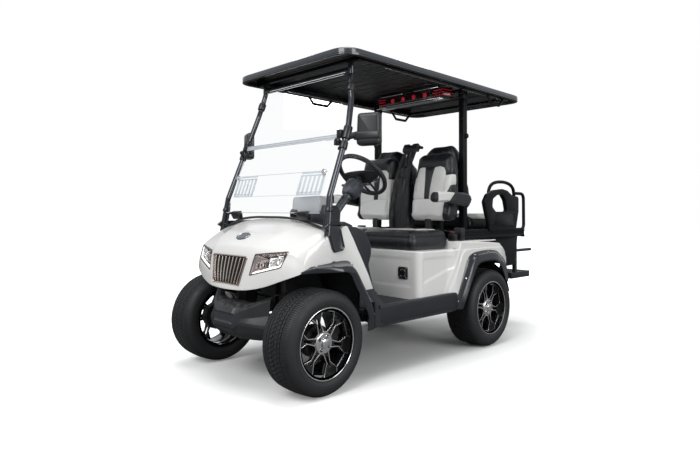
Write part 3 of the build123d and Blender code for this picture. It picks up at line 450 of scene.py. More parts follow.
def metal(name, colour, rough, brushed=0.0, axis=(1, 1, 60), smudge=0.25):
    """Bare or plated metal, with smudges and, when brushed, fine lines across the axis."""
    made = Finish(name)
    cloud = made.noise(45, 4)
    made.set(Base_Color=made.mix(cloud, rgba(colour, 0.93), rgba(colour, 1.05)), Metallic=1.0,
             Roughness=made.ramp(cloud, 0.35, 0.7, rough * (1 - smudge), rough * (1 + smudge)))
    if brushed:
        stretched = made.node("Mapping", {"Vector": made.place, "Scale": axis}).outputs[0]
        made.set(Normal=made.bump(made.noise(6, 3, stretched), brushed))
    else:
        made.set(Normal=made.bump(made.noise(3, 2), 0.006))
    return made.material


def tyre_rubber(name, colour):
    """Dull rubber, greyer in cloudy patches."""
    made = Finish(name)
    cloud = made.noise(60, 4)
    tone = made.mix(cloud, rgba(colour, 0.8), rgba(colour, 1.35))
    made.set(Base_Color=tone, Roughness=made.ramp(cloud, 0.3, 0.7, 0.50, 0.66), Specular_IOR_Level=0.55)
    made.set(Normal=made.bump(made.noise(0.9, 3), 0.06))
    return made.material


def clear_pane(name, tint, rough=0.0):
    """Clear polycarbonate with a faint tint and almost no bend to the light."""
    made = Finish(name)
    haze = made.noise(120, 3)
    made.set(Base_Color=rgba(tint), Transmission_Weight=1.0, IOR=1.06, Alpha=1.0,
             Roughness=made.ramp(haze, 0.4, 0.8, rough, rough + 0.015))
    made.set(Normal=made.bump(haze, 0.02))
    return made.material


def webbing(name, colour):
    """Woven belt: fine ribs across and along."""
    made = Finish(name)
    x, _, z = made.axes()[:3]
    across = made.math("SINE", made.math("MULTIPLY", x, 2200))
    along = made.math("SINE", made.math("MULTIPLY", z, 3300))
    weave = made.math("MULTIPLY", across, along)
    made.set(Base_Color=made.mix(made.ramp(weave, -1, 1), rgba(colour, 0.7), rgba(colour, 1.3)), Roughness=0.7,
             Sheen_Weight=0.12)
    made.set(Normal=made.bump(weave, 0.3))
    return made.material


def floor_mat(name, colour):
    """Rubber mat with a chequer of short raised ribs."""
    made = Finish(name)
    x, y, _ = made.axes()[:3]
    row = made.math("FLOOR", made.math("MULTIPLY", y, 40))
    turn = made.math("MULTIPLY", made.math("MODULO", row, 2.0), pi)
    ribs = made.math("SINE", made.math("ADD", made.math("MULTIPLY", x, 420), turn))
    gap = made.math("ABSOLUTE", made.math("SINE", made.math("MULTIPLY", y, 40 * pi)))
    height = made.math("MULTIPLY", made.ramp(ribs, 0.1, 0.6), made.ramp(gap, 0.15, 0.45))
    # Painted light and shade: the rib tops are lighter and the low ground between the ribs darker.
    made.set(Base_Color=made.mix(height, rgba(colour, 0.75), rgba(colour, 1.5)), Roughness=0.6)
    made.set(Normal=made.bump(height, 1.6))
    return made.material


def perforated(name, colour):
    """Black moulding with rows of small holes."""
    made = Finish(name)
    x, y, z = made.axes()[:3]
    rows = [made.math("SINE", made.math("MULTIPLY", axis, 2 * pi / 0.012)) for axis in (x, y, z)]
    product = made.math("ADD", made.math("ADD", made.math("ABSOLUTE", rows[0]), made.math("ABSOLUTE", rows[1])),
                        made.math("ABSOLUTE", rows[2]))
    hole = made.ramp(product, 0.9, 1.2)
    made.set(Base_Color=made.mix(hole, (0.002, 0.002, 0.002, 1), rgba(colour, 0.6)), Roughness=0.5,
             Specular_IOR_Level=0.2)
    made.set(Normal=made.bump(hole, 1.0))
    return made.material


def lamp_glow(name, colour, strength):
    """Lit lamp face with a small bead pattern."""
    made = Finish(name)
    beads = made.node("TexVoronoi", {"Vector": made.place, "Scale": 160.0}).outputs["Distance"]
    made.set(Base_Color=made.mix(beads, rgba(colour, 1.1), rgba(colour, 0.6)), Roughness=0.25,
             Emission_Color=rgba(colour), Emission_Strength=strength)
    made.set(Normal=made.bump(beads, 0.5))
    return made.material


class CartColours(bpy.types.PropertyGroup):
    """Colours of the cart's finishes."""
    paint: FloatVectorProperty(name="Body paint", description="Colour of the body shell", subtype="COLOR",
                               size=3, min=0, max=1, default=(0.82, 0.815, 0.80))
    moulding: FloatVectorProperty(name="Black moulding", description="Colour of the flares and trim",
                                  subtype="COLOR", size=3, min=0, max=1, default=(0.0095, 0.0105, 0.013))
    charcoal: FloatVectorProperty(name="Charcoal moulding", description="Colour of the bumper, sills and guards",
                                  subtype="COLOR", size=3, min=0, max=1, default=(0.018, 0.020, 0.0245))
    seat_black: FloatVectorProperty(name="Seat cover", description="Colour of the black seat cover",
                                    subtype="COLOR", size=3, min=0, max=1, default=(0.0075, 0.009, 0.0125))
    seat_light: FloatVectorProperty(name="Seat panels", description="Colour of the light seat panels",
                                    subtype="COLOR", size=3, min=0, max=1, default=(0.80, 0.795, 0.78))
    roof: FloatVectorProperty(name="Roof", description="Colour of the canopy", subtype="COLOR", size=3,
                              min=0, max=1, default=(0.026, 0.032, 0.042))
    rubber: FloatVectorProperty(name="Tyres", description="Colour of the tyres", subtype="COLOR", size=3,
                                min=0, max=1, default=(0.013, 0.0137, 0.0155))


def make_finishes(colours):
    """Every finish by name."""
    black = tuple(colours.moulding)
    return {
        "paint": body_paint("body_paint", colours.paint),
        "black": moulded("black_moulding", black, 0.34, grain=0.7, depth=0.035),
        "rear_black": moulded("rear_black", (0.006, 0.0065, 0.008), 0.36, grain=0.7, depth=0.035, shine=0.16),
        "gloss_black": moulded("gloss_black", (0.008, 0.008, 0.009), 0.16, grain=2, depth=0.01, coat=0.6),
        "charcoal": moulded("charcoal_moulding", colours.charcoal, 0.42, grain=0.9, depth=0.06, dust_and_sheen=0.04, shine=0.4),
        # The bumper's strong up-facing lightening is partly dirt and partly a painted sheen on its upper faces.
        "bumper": moulded("bumper_moulding", colours.charcoal, 0.40, grain=0.9, depth=0.05, dust_and_sheen=0.30),
        "charcoal_node": moulded("charcoal_frame", colours.charcoal, 0.46, grain=0.9, depth=0.06, edges=3),
        "chassis": moulded("chassis_paint", (0.009, 0.009, 0.010), 0.5, grain=1.5, depth=0.06, edges=3, dust_and_sheen=0.15),
        "column": moulded("column_paint", (0.060, 0.066, 0.078), 0.30, grain=1.2, depth=0.02, metallic=0.3, coat=0.2),
        "post": moulded("post_paint", (0.045, 0.050, 0.060), 0.20, grain=1.2, depth=0.01, metallic=0.7, coat=0.3),
        "grey_trim": moulded("grey_trim", (0.36, 0.365, 0.38), 0.4, grain=0.8, depth=0.04),
        "cast": moulded("cast_iron", (0.05, 0.05, 0.052), 0.55, grain=2.5, depth=0.2, metallic=0.6, edges=2),
        "case": moulded("battery_case", (0.03, 0.03, 0.034), 0.45, edges=4),
        "chrome": metal("chrome", (0.80, 0.80, 0.81), 0.07),
        "warm_chrome": metal("warm_chrome", (0.62, 0.53, 0.47), 0.16),
        "slat": metal("slat_chrome", (0.78, 0.70, 0.64), 0.22),
        "dark_chrome": metal("dark_chrome", (0.24, 0.21, 0.205), 0.14),
        "smoked": metal("smoked_chrome", (0.40, 0.36, 0.34), 0.10),
        "badge": metal("badge_chrome", (0.36, 0.38, 0.42), 0.22),
        "pit": moulded("grille_pit", (0.004, 0.004, 0.004), 0.6),
        "flare": moulded("flare_gloss", (0.010, 0.0125, 0.018), 0.24, grain=1.5, depth=0.015, coat=0.35),
        "machined": metal("machined_alloy", (0.86, 0.86, 0.87), 0.20, brushed=0.02, axis=(1, 12, 12)),
        "hub": metal("hub_alloy", (0.80, 0.80, 0.81), 0.12, smudge=0.4),
        "steel": metal("screw_steel", (0.62, 0.62, 0.63), 0.25),
        "mirror": metal("mirror_glass", (0.90, 0.92, 0.94), 0.02, smudge=0.1),
        "leather": leather("seat_leather", colours.seat_black, colours.seat_light),
        "rubber": tyre_rubber("tyre_rubber", colours.rubber),
        "grip": moulded("grip_rubber", (0.016, 0.016, 0.018), 0.48, grain=1.1, depth=0.08),
        "roof": moulded("roof_gloss", colours.roof, 0.26, grain=6, depth=0.02, coat=0.8),
        # The ceiling is a darker black than the roof's top: its own matte black, darkened further as painted shade
        # under the canopy.
        "ceiling": moulded("ceiling_moulding_painted_shade", (0.006, 0.0065, 0.0075), 0.42, grain=1.5, depth=0.06),
        "pane": clear_pane("clear_pane", (0.965, 0.98, 0.985)),
        "frosted": moulded("frosted_strip", (0.62, 0.68, 0.74), 0.35, grain=0.6, depth=0.03),
        "clear_bar": moulded("clear_bar", (0.66, 0.70, 0.74), 0.22, grain=2, depth=0.01, coat=0.4),
        "mirror_shell": moulded("mirror_shell", (0.022, 0.023, 0.026), 0.36, grain=1.6, depth=0.12),
        "lens": clear_pane("lamp_lens", (0.98, 0.98, 0.98)),
        "lamp_white": lamp_glow("lamp_white", (1.0, 0.98, 0.94), 1.4),
        "lamp_red": lamp_glow("lamp_red", (0.42, 0.012, 0.025), 0.35),
        "red_screen": moulded("red_screen", (0.030, 0.006, 0.008), 0.18, grain=4, depth=0.02, coat=0.5),
        "perforated": perforated("perforated_moulding", black),
        "red": moulded("red_button", (0.60, 0.02, 0.02), 0.35),
        "webbing": webbing("belt_webbing", (0.020, 0.0185, 0.0195)),
        "mat": floor_mat("floor_mat", (0.022, 0.023, 0.026)),
    }


# ---------------------------------------------------------------- front body
def crease(piece, path, weight):
    """Keeps the edges between neighbouring points of a path (mm) sharp under subdivision."""
    data = piece.data
    layer = data.attributes.get("crease_edge") or data.attributes.new("crease_edge", "FLOAT", "EDGE")
    spots = [tuple(round(c * 1e4) for c in to_frame(point)) for point in path]
    wanted = {frozenset(pair) for pair in zip(spots, spots[1:])}
    keys = [tuple(round(c * 1e4) for c in vertex.co) for vertex in data.vertices]
    for edge in data.edges:
        if frozenset(keys[i] for i in edge.vertices) in wanted:
            layer.data[edge.index].value = weight


def cut(piece, *cutters):
    """Takes closed forms away from a piece."""
    for cutter in cutters:
        tool = piece.modifiers.new("Cut", "BOOLEAN")
        tool.operation = "DIFFERENCE"
        tool.solver = "EXACT"
        tool.object = cutter
    apply_modifiers(piece)
    for cutter in cutters:
        bpy.data.objects.remove(cutter, do_unlink=True)


def smooth_line(points, steps=4):
    """Curve through points, with a few steps to each stretch."""
    points = [Vector(p) for p in points]
    line = []
    for i in range(len(points) - 1):
        before = points[max(i - 1, 0)]
        a, b = points[i], points[i + 1]
        after = points[min(i + 2, len(points) - 1)]
        for step in range(steps):
            t = step / steps
            line.append(0.5 * (2 * a + (b - before) * t + (2 * before - 5 * a + 4 * b - after) * t ** 2
                               + (3 * a - before - 3 * b + after) * t ** 3))
    return line + [points[-1]]


# Lines of the front shell from the windshield's foot down to the nose's lower edge, each at its own
# distance from the middle: (x, y, z) in mm.
COWL_LINES = (
    [(0, 130, 968), (0, 60, 958), (0, 0, 922), (0, -70, 889), (0, -137, 856), (0, -200, 812), (0, -225, 765),
     (0, -247, 640), (0, -263, 553)],
    [(110, 130, 967), (110, 60, 957), (108, 0, 921), (106, -70, 888), (104, -136, 855), (102, -198, 811),
     (100, -224, 764), (86, -245, 640), (80, -261, 554)],
    [(225, 130, 962), (222, 60, 953), (216, 0, 918), (212, -70, 884), (209, -134, 850), (207, -190, 806),
     (205, -217, 762), (172, -240, 640), (160, -253, 558)],
    [(370, 130, 945), (340, 60, 936), (310, 0, 908), (278, -75, 876), (256, -135, 843), (240, -183, 803),
     (236, -206, 764), (212, -233, 640), (212, -241, 562)],
    [(440, 130, 932), (425, 60, 918), (405, 0, 886), (385, -72, 850), (365, -135, 814), (352, -167, 788),
     (350, -184, 756), (335, -207, 670), (330, -213, 585)],
    [(505, 130, 917), (502, 60, 902), (500, 0, 868), (494, -62, 832), (482, -115, 802), (470, -139, 780),
     (466, -155, 742), (450, -175, 700), (440, -182, 628)],
    [(540, 130, 898), (540, 60, 884), (540, 0, 850), (538, -50, 816), (530, -88, 784), (524, -108, 758),
     (520, -121, 724), (513, -138, 694), (508, -147, 654)],
    [(552, 130, 850), (551, 60, 838), (550, 0, 806), (547, -38, 776), (543, -70, 748), (539, -90, 724),
     (537, -100, 706), (535, -110, 690), (533, -118, 668)],
    [(556, 130, 722), (554, 60, 716), (552, 0, 712), (549, -30, 706), (546, -62, 698), (542, -84, 690),
     (540, -94, 682), (538, -102, 677), (536, -108, 672)])
# Where the lines start that look for the skin, and what stands in where they meet none, in mm.
BEFORE_NOSE, NOSE_Y = -500, -200
ABOVE_HOOD, HOOD_Z = 1200, 857
HEADLIGHT = ((233, 768), (461, 792), (436, 702), (418, 694), (212, 642))
GRILLE = ((-186, 752), (186, 752), (143, 580), (-143, 580))


def rounded_outline(points, radius, steps=5):
    """Closed outline of two coordinates with its corners rounded."""
    return [(p[0], p[1]) for p in rounded_path([(u, v, 0) for u, v in points], radius, steps, closed=True)]


def grown(outline, by):
    """Closed convex outline moved outwards (or inwards when negative)."""
    middle = Vector((sum(u for u, v in outline), sum(v for u, v in outline))) / len(outline)
    moved = []
    for i, corner in enumerate(outline):
        before = (Vector(corner) - Vector(outline[i - 1])).normalized()
        after = (Vector(outline[(i + 1) % len(outline)]) - Vector(corner)).normalized()
        first, second = Vector((before.y, -before.x)), Vector((after.y, -after.x))
        if first.dot(Vector(corner) - middle) < 0:
            first, second = -first, -second
        way = (first + second).normalized()
        moved.append(tuple(Vector(corner) + way * by / max(way.dot(first), 0.4)))
    return moved


def cowl_skin():
    """The front shell before its wall and pockets."""
    form = Form()
    lines = [[(-x, y, z) for x, y, z in line] for line in reversed(COWL_LINES[1:])] + list(COWL_LINES)
    form.loft(lines, closed=False)
    skin = form.mesh("cowl", [FINISHES["paint"]])
    for sign in (1, -1):
        folds = [[(sign * x, y, z) for x, y, z in COWL_LINES[number]] for number in (2, 3, 5, 6)]
        crease(skin, folds[0][5:], 0.85)
        crease(skin, folds[1][1:6], 0.80)
        crease(skin, folds[2][:6], 0.40)
        crease(skin, folds[3][6:], 0.25)
    for row, weight in ((5, 0.45), (8, 0.9)):
        crease(skin, [line[row] for line in lines], weight)
    return subdivided(skin, SHELL_LEVELS)


class CART_OT_cowl(bpy.types.Operator):
    """White front body shell with its headlights, grille and emblem"""
    bl_idname = "cart.cowl"
    bl_label = "Front body"

    def execute(self, context):
        skin = cowl_skin()
        find = surface_finder(skin)
        self.add_headlights(find)
        self.add_grille()
        self.add_emblem(find)
        wall = skin.modifiers.new("Wall", "SOLIDIFY")
        wall.thickness = 7 * MM
        wall.offset = -1
        apply_modifiers(skin)
        cutters = [Form().prism(rounded_outline(GRILLE, 9), "y", -330, -120).mesh("cutter", [])]
        for sign in (1, -1):
            outline = rounded_outline([(sign * x, z) for x, z in HEADLIGHT], 9)
            cutters.append(Form().prism(outline, "y", -330, -60).mesh("cutter", []))
        cut(skin, *cutters)
        finish_piece(skin, "cart", "body_white", bevel=1.2, angle=40)
        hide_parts("cowl", "headlights", "grille")
        self.add_bands()
        self.add_seal()
        return {"FINISHED"}

    def add_bands(self):
        """Side panels that run from under the post covers down behind the flares."""
        outline = [(40, 740), (60, 905), (150, 925), (216, 926), (258, 860), (300, 785), (344, 709), (386, 632),
                   (426, 545), (340, 541), (300, 600), (262, 655), (238, 690), (205, 712)]
        bands = Form()
        outer = [(552 + max(y - 60, 0) * 0.052, y, z) for y, z in outline]
        inner = [(x - 8, y, z) for x, y, z in outer]
        bands.loft([inner, outer])
        bands.mirror()
        bands.make("cowl_bands", "paint", "body_white", bevel=3)

    def add_seal(self):
        """Black seal along the windshield's foot."""
        half = [(0, 62, 975), (150, 62, 974), (300, 66, 962), (410, 72, 938), (500, 82, 912)]
        path = [(-x, y, z) for x, y, z in reversed(half[1:])] + half
        Form().tube(smooth_line(path), 26, 16, sides=10).make("windshield_seal", "black", "black_moulding")

    def add_headlights(self, find):
        """Lamp units seated in the nose's corners."""
        for sign, side in ((1, "left"), (-1, "right")):
            corners = [(sign * x, z) for x, z in HEADLIGHT]

            def on_skin(x, z, lift):
                hit = find((x, BEFORE_NOSE, z), (0, 1, 0))
                return (x, (hit.y if hit else NOSE_Y) - lift, z)

            # columns: how far inside the outline, how far proud of the skin
            bezel = Form()
            steps = ((-0.5, -6), (-0.5, 1.5), (-3, 3), (-6, 2), (-8, -3), (-9, -16))
            bezel.loft([[on_skin(x, z, lift) for x, z in rounded_outline(grown(corners, inset), 9)]
                        for inset, lift in steps], caps=False)
            bezel.make("headlight_bezel_" + side, "dark_chrome", "lamp_clear", angle=50)
            self.add_lamp_inside(on_skin, corners, side, sign)

    def add_lamp_inside(self, on_skin, corners, side, sign):
        """Bowl, reflectors, light strip and lens of one lamp."""
        inside = rounded_outline(grown(corners, -8), 8)
        bowl = Form()
        middle = (sign * 335, 722)
        # columns: depth behind the skin where the stretch starts and where it ends
        for finish, (near, far) in enumerate(((8, 30), (30, 44))):
            bowl.loft([[on_skin(*lerp(p, middle, (near - 8) / 60), -near) for p in inside],
                       [on_skin(*lerp(p, middle, (far - 8) / 60), -far) for p in inside]], caps=False)
        floor_ring = [on_skin(*lerp(p, middle, 0.6), -44) for p in inside]
        bowl.add(floor_ring, [tuple(range(len(floor_ring)))])
        # raised reflector blocks: x from the middle of the cart, z, half width, half height, finish
        blocks = ((286, 708, 30, 26, 1), (352, 722, 26, 30, 2), (404, 742, 22, 30, 2), (250, 700, 16, 30, 1))
        for x, z, wide, high, finish in blocks:
            for share, lift, out in ((1.0, -42, -26), (0.72, -36, -20), (0.46, -30, -15)):
                frame_outer = rounded_outline([(sign * (x - wide * share), z - high * share),
                                               (sign * (x + wide * share), z - high * share * 0.8),
                                               (sign * (x + wide * share), z + high * share),
                                               (sign * (x - wide * share), z + high * share * 0.8)], 6)
                frame_inner = [lerp(p, (sign * x, z), 0.22) for p in frame_outer]
                bowl.loft([[on_skin(*p, lift) for p in frame_outer], [on_skin(*p, out) for p in frame_outer],
                           [on_skin(*p, out - 2) for p in frame_inner], [on_skin(*p, lift - 4) for p in frame_inner]],
                          finish, caps=False)
            bowl.loft([[on_skin(*p, -34) for p in ellipse_at(sign * x, z, wide * 0.62, high * 0.62, 14)],
                       [on_skin(*p, -28) for p in ellipse_at(sign * x, z, wide * 0.36, high * 0.36, 14)]], 2)
        piece = bowl.mesh("headlight_bowl_" + side, [FINISHES["dark_chrome"], FINISHES["smoked"], FINISHES["chrome"]])
        finish_piece(piece, "cart", "lamp_clear", bevel=0.8, angle=40)
        # light strip along the lower edge, turning up at the outer end
        route = [(228, 655), (300, 676), (380, 698), (417, 708), (432, 730), (446, 772)]
        fine = smooth_line([(x, z, 0) for x, z in route], 5)
        line = [on_skin(sign * p[0], p[1], -13) for p in fine]
        strip = Form().tube(line, 15, 12, sides=10)
        strip.make("headlight_strip_" + side, "lamp_white", "lamp_clear")
        lens = Form()
        rows = []
        for share in (0, 0.35, 0.7, 0.97):
            rows.append([on_skin(*lerp(p, middle, share), -1.0) for p in inside])
        lens.loft(rows, caps=False)
        lens.add(rows[-1], [tuple(range(len(inside)))])
        lens.make("headlight_lens_" + side, "lens", "lamp_clear", angle=60)

    def add_grille(self):
        """Leaning frame with upright slats, bright at their front edges, over a black back."""
        def face_y(z):
            return -222 - (752 - z) * 0.182

        def at(x, z, lift):
            return (x, face_y(z) - lift, z)

        form = Form()
        steps = ((-0.5, -8), (-0.5, 2), (-2, 4), (-5.5, 4), (-7.5, 1), (-7.5, -14))
        form.loft([[at(x, z, lift) for x, z in rounded_outline(grown(GRILLE, inset), 8)]
                   for inset, lift in steps], caps=False)
        form.make("grille_frame", "warm_chrome", "grille_chrome", angle=50)
        back = Form().loft([[at(x, z, lift) for x, z in grown(GRILLE, -2)] for lift in (-16, -22)])
        back.make("grille_back", "pit", "grille_chrome")
        slats = Form()
        count = 9
        for number in range(count):
            share = (number + 0.5) / count * 2 - 1
            rings = []
            for step in range(9):
                drop = step / 8
                z = 741 - drop * 150
                bow = sin(pi * drop) * 7 * share
                x = share * (172 - 43 * drop) + bow
                bulge = sin(pi * drop) * 2.5
                width = 3.8
                rings.append([at(x - width, z, -8), at(x - width, z, -2 + bulge), at(x - width * 0.55, z, 2 + bulge),
                              at(x + width * 0.55, z, 2 + bulge), at(x + width, z, -2 + bulge), at(x + width, z, -8)])
            slats.loft(rings)
        slats.make("grille_slats", "slat", "grille_chrome", bevel=0.8)

    def add_emblem(self, find):
        """Plain oval badge on the hood's front slope."""
        badge = Form()
        centre = (0, -128)
        # columns: share of the half size, lift above the hood in mm
        rings = []
        for share, lift in ((1.0, -2), (1.0, 4), (0.95, 7), (0.86, 7), (0.82, 4.5), (0.80, 4.5), (0.4, 5.5), (0.01, 6)):
            ring = []
            for number in range(40):
                turn = 2 * pi * number / 40
                x = centre[0] + cos(turn) * 62 * share
                y = centre[1] + sin(turn) * 32 * share
                hit = find((x, y, ABOVE_HOOD), (0, 0, -1))
                ring.append((x, y - lift * 0.35, (hit.z if hit else HOOD_Z) + lift))
            rings.append(ring)
        badge.loft(rings, caps=False)
        badge.make("hood_badge", "badge", "grille_chrome", angle=40)


def ellipse_at(x, z, half_width, half_height, sides):
    """Ring of (x, z) points."""
    return [(x + u, z + v) for u, v in ellipse(2 * half_width, 2 * half_height, sides)]


# ---------------------------------------------------------------- bumper
# Half sections of the bumper from the middle outwards: distance from the middle, then (y, z) points from
# the top of the back round the front to the bottom of the back.
BUMPER_SECTIONS = (
    (0, ((-150, 478), (-205, 474), (-250, 452), (-271, 420), (-279, 360), (-274, 338), (-262, 326), (-246, 300),
         (-205, 266), (-150, 268))),
    (84, ((-150, 477), (-203, 473), (-248, 450), (-268, 418), (-276, 360), (-272, 338), (-260, 326), (-244, 300),
          (-205, 266), (-150, 268))),
    (100, ((-150, 474), (-198, 470), (-240, 447), (-258, 414), (-268, 354), (-270, 330), (-262, 318), (-244, 298),
           (-203, 266), (-150, 268))),
    (124, ((-150, 474), (-190, 470), (-228, 450), (-246, 424), (-254, 372), (-256, 350), (-250, 336), (-240, 300),
           (-200, 266), (-150, 268))),
    (150, ((-146, 476), (-180, 474), (-214, 458), (-234, 436), (-240, 392), (-246, 372), (-248, 356), (-234, 306),
           (-194, 267), (-150, 269))),
    (205, ((-128, 494), (-158, 492), (-190, 478), (-206, 460), (-212, 400), (-228, 368), (-230, 352), (-216, 310),
           (-180, 268), (-130, 271))),
    (262, ((-92, 520), (-110, 519), (-140, 508), (-156, 490), (-166, 410), (-188, 362), (-192, 346), (-186, 312),
           (-160, 272), (-100, 274))),
    (290, ((-70, 534), (-86, 533), (-116, 523), (-132, 507), (-144, 416), (-168, 362), (-172, 345), (-167, 314),
         (-143, 275), (-84, 276))))


class CART_OT_bumper(bpy.types.Operator):
    """Moulded front bumper with its raised centre and swept wings"""
    bl_idname = "cart.bumper"
    bl_label = "Front bumper"

    def execute(self, context):
        form = Form()
        half = []
        for x, section in BUMPER_SECTIONS:
            sunk = 9 if x < 90 else 0
            ring = [(x, y, z) for y, z in section]
            for number, share in ((4, 0.10), (5, 0.86)):
                y, z = lerp(Vector(section[3]), Vector(section[4]), share)
                ring.insert(number, (x, y + sunk, z))
            half.append(ring)
        rings = [[(-x, y, z) for x, y, z in ring] for ring in reversed(half[1:])] + half
        form.loft(rings, closed=False)
        piece = form.mesh("front_bumper", [FINISHES["bumper"]])
        for row, weight in ((1, 0.7), (2, 0.85), (3, 0.95), (4, 0.9), (5, 0.9), (6, 0.95), (7, 0.95), (8, 0.9),
                            (9, 0.4), (10, 0.6)):
            crease(piece, [ring[row] for ring in rings], weight)
        for number, weight in ((5, 0.95), (6, 0.95), (8, 0.95), (9, 0.95), (10, 0.9), (4, 0.9), (3, 0.8), (11, 0.8)):
            crease(piece, rings[number][1:10], weight)
        subdivided(piece, SHELL_LEVELS)
        finish_piece(piece, "cart", "charcoal_moulding", wall=5, angle=45)
        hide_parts("front_bumper")
        return {"FINISHED"}


# ---------------------------------------------------------------- flares
# Rows along a flare from its front end: where it meets the body, its crest and its lip, each (x, y, z) in mm.
FRONT_FLARE = (
    ((531, -112, 681), (541, -113, 678), (543, -110, 668)), ((521, -88, 699), (566, -74, 692), (572, -64, 673)),
    ((522, -55, 716), (596, -24, 702), (603, -6, 674)), ((532, 60, 723), (637, 74, 702), (648, 84, 675)),
    ((546, 160, 730), (643, 146, 703), (652, 128, 672)), ((558, 230, 723), (643, 190, 690), (652, 160, 653)),
    ((565, 272, 672), (638, 230, 652), (648, 184, 618)), ((570, 330, 590), (630, 290, 568), (640, 246, 528)),
    ((575, 386, 508), (624, 342, 488), (630, 302, 450)), ((582, 428, 446), (619, 374, 430), (622, 333, 398)),
    ((588, 448, 380), (616, 382, 374), (617, 334, 362)), ((588, 450, 314), (616, 380, 313), (617, 326, 312)))
REAR_FLARE = (
    ((588, 1232, 325), (622, 1270, 325), (632, 1290, 325)), ((592, 1254, 420), (630, 1296, 416), (645, 1314, 398)),
    ((598, 1330, 575), (640, 1366, 560), (652, 1388, 532)), ((600, 1378, 664), (642, 1412, 640), (652, 1436, 604)),
    ((600, 1444, 710), (643, 1466, 686), (652, 1488, 640)), ((600, 1570, 726), (643, 1576, 700), (652, 1592, 650)),
    ((600, 1706, 727), (642, 1698, 701), (652, 1702, 646)), ((600, 1812, 710), (637, 1778, 676), (646, 1768, 622)),
    ((595, 1910, 650), (623, 1866, 610), (631, 1842, 566)), ((586, 1984, 548), (602, 1946, 522), (607, 1918, 492)),
    ((581, 2006, 462), (589, 1976, 452), (591, 1958, 446)))


class CART_OT_flares(bpy.types.Operator):
    """Four black wheel arch flares with a channelled shelf, a rolled lip and screws"""
    bl_idname = "cart.flares"
    bl_label = "Flares"

    def execute(self, context):
        form = Form()
        for rows in (FRONT_FLARE, REAR_FLARE):
            lines = [smooth_line([row[part] for row in rows], 5) for part in range(3)]
            rings = [self.ring(*points) for points in zip(*lines)]
            form.loft(rings)
        form.mirror()
        piece = form.make("fender_flares", "flare", "black_moulding", bevel=1.5, angle=50)
        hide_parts("fender_flares")
        # columns: place on the flare and the way it faces
        for number, (place, way) in enumerate((
                ((583, -42, 712), (0.15, -0.25, 1)), ((618, 196, 712), (0.5, 0.5, 0.8)),
                ((606, 300, 584), (0.8, 0.5, 0.2)), ((606, 396, 400), (0.9, 0.4, 0.0)),
                ((626, 1338, 540), (0.8, -0.6, 0.3)), ((624, 1458, 702), (0.5, -0.3, 0.8)),
                ((622, 1640, 717), (0.5, 0, 0.9)), ((608, 1268, 380), (0.8, -0.5, 0)))):
            for sign in (1, -1):
                self.add_screw("flare_screw_%d_%s" % (number, "left" if sign > 0 else "right"), place, way, sign)
        return {"FINISHED"}

    def ring(self, joint, crest, lip):
        """Section of the flare at one place: shelf with its channel, crest, lip and the way back."""
        joint, crest, lip = Vector(joint), Vector(crest), Vector(lip)
        across = crest - joint
        fall = lip - crest
        up = Vector((0, 0, 1)) if across.length < 1 else (fall.cross(across).cross(across)).normalized()
        if up.dot(fall) > 0:
            up = -up
        depth = min(across.length * 0.06, 4)
        outward = across.normalized()
        inward_lip = lip - outward * min(across.length * 0.6, 34) - fall.normalized() * 2
        return [joint - outward * 8 - up * 14, joint - outward * 8, joint, joint + across * 0.10 + up * 1.5,
                joint + across * 0.20 - up * depth * 0.2, joint + across * 0.34 - up * depth,
                joint + across * 0.62 - up * depth, joint + across * 0.80 - up * depth * 0.1,
                joint + across * 0.92 + up * 1.5, crest, crest + fall * 0.25 + outward * 2,
                crest + fall * 0.72 + outward * 1.5, lip, lip - outward * 4 + fall.normalized() * 1.0, inward_lip,
                joint + across * 0.3 - up * 14]

    def add_screw(self, name, place, way, sign):
        add_screw_head(name, (sign * place[0], place[1], place[2]), (sign * way[0], way[1], way[2]), 4.6, "cart")


def add_screw_head(name, place, way, radius, body, finish="steel", slot="frame_steel"):
    """Pan-head screw with a hexagon socket, seated at a place and facing a way."""
    head = Form()
    head.turned([(-3, radius * 1.5), (0.6, radius * 1.5), (1.2, radius * 1.25), (1.2, radius), (2.6, radius * 0.92),
                 (3.6, radius * 0.6), (3.6, radius * 0.42)], place, way, 18)
    head.turned([(3.6, radius * 0.42), (1.8, radius * 0.42), (1.8, 0.2)], place, way, 6)
    piece = head.mesh(name, [FINISHES[finish]])
    return finish_piece(piece, body, slot, angle=35)


# ---------------------------------------------------------------- rear body
TUB_FRONT, TUB_REAR = 869, WHEELBASE + 340
TUB_SIDE, TUB_FENDER = 572, 600
TUB_BOTTOM = 419             # lower edge of the box
TUB_EDGE = 9                 # radius of its upper edge
ARCH_LINE = [row[0] for row in REAR_FLARE]


def arch_distance(y, z):
    """Distance in the side view from a point to the rear flare's joint with the body."""
    best = 1e9
    spot = Vector((y, z))
    for a, b in zip(ARCH_LINE, ARCH_LINE[1:]):
        start, end = Vector(a[1:]), Vector(b[1:])
        run = end - start
        share = min(max((spot - start).dot(run) / run.length_squared, 0), 1)
        best = min(best, (start + run * share - spot).length)
    return best


def tub_low(y):
    """Lower edge of the tub's side."""
    line = [(a[1], a[2] - 14) for a in ARCH_LINE]
    return TUB_BOTTOM if y < line[1][0] else max(table_value(line, y), TUB_BOTTOM)


def tub_high(y):
    """Upper edge of the tub's side."""
    step = smooth((y - 1300) / 26)
    after = table_value([(1326, 803), (1700, 786), (WHEELBASE + 184, 772), (WHEELBASE + 262, 722),
                         (WHEELBASE + 318, 640), (TUB_REAR, 560)], y)
    return lerp(748, after, step)


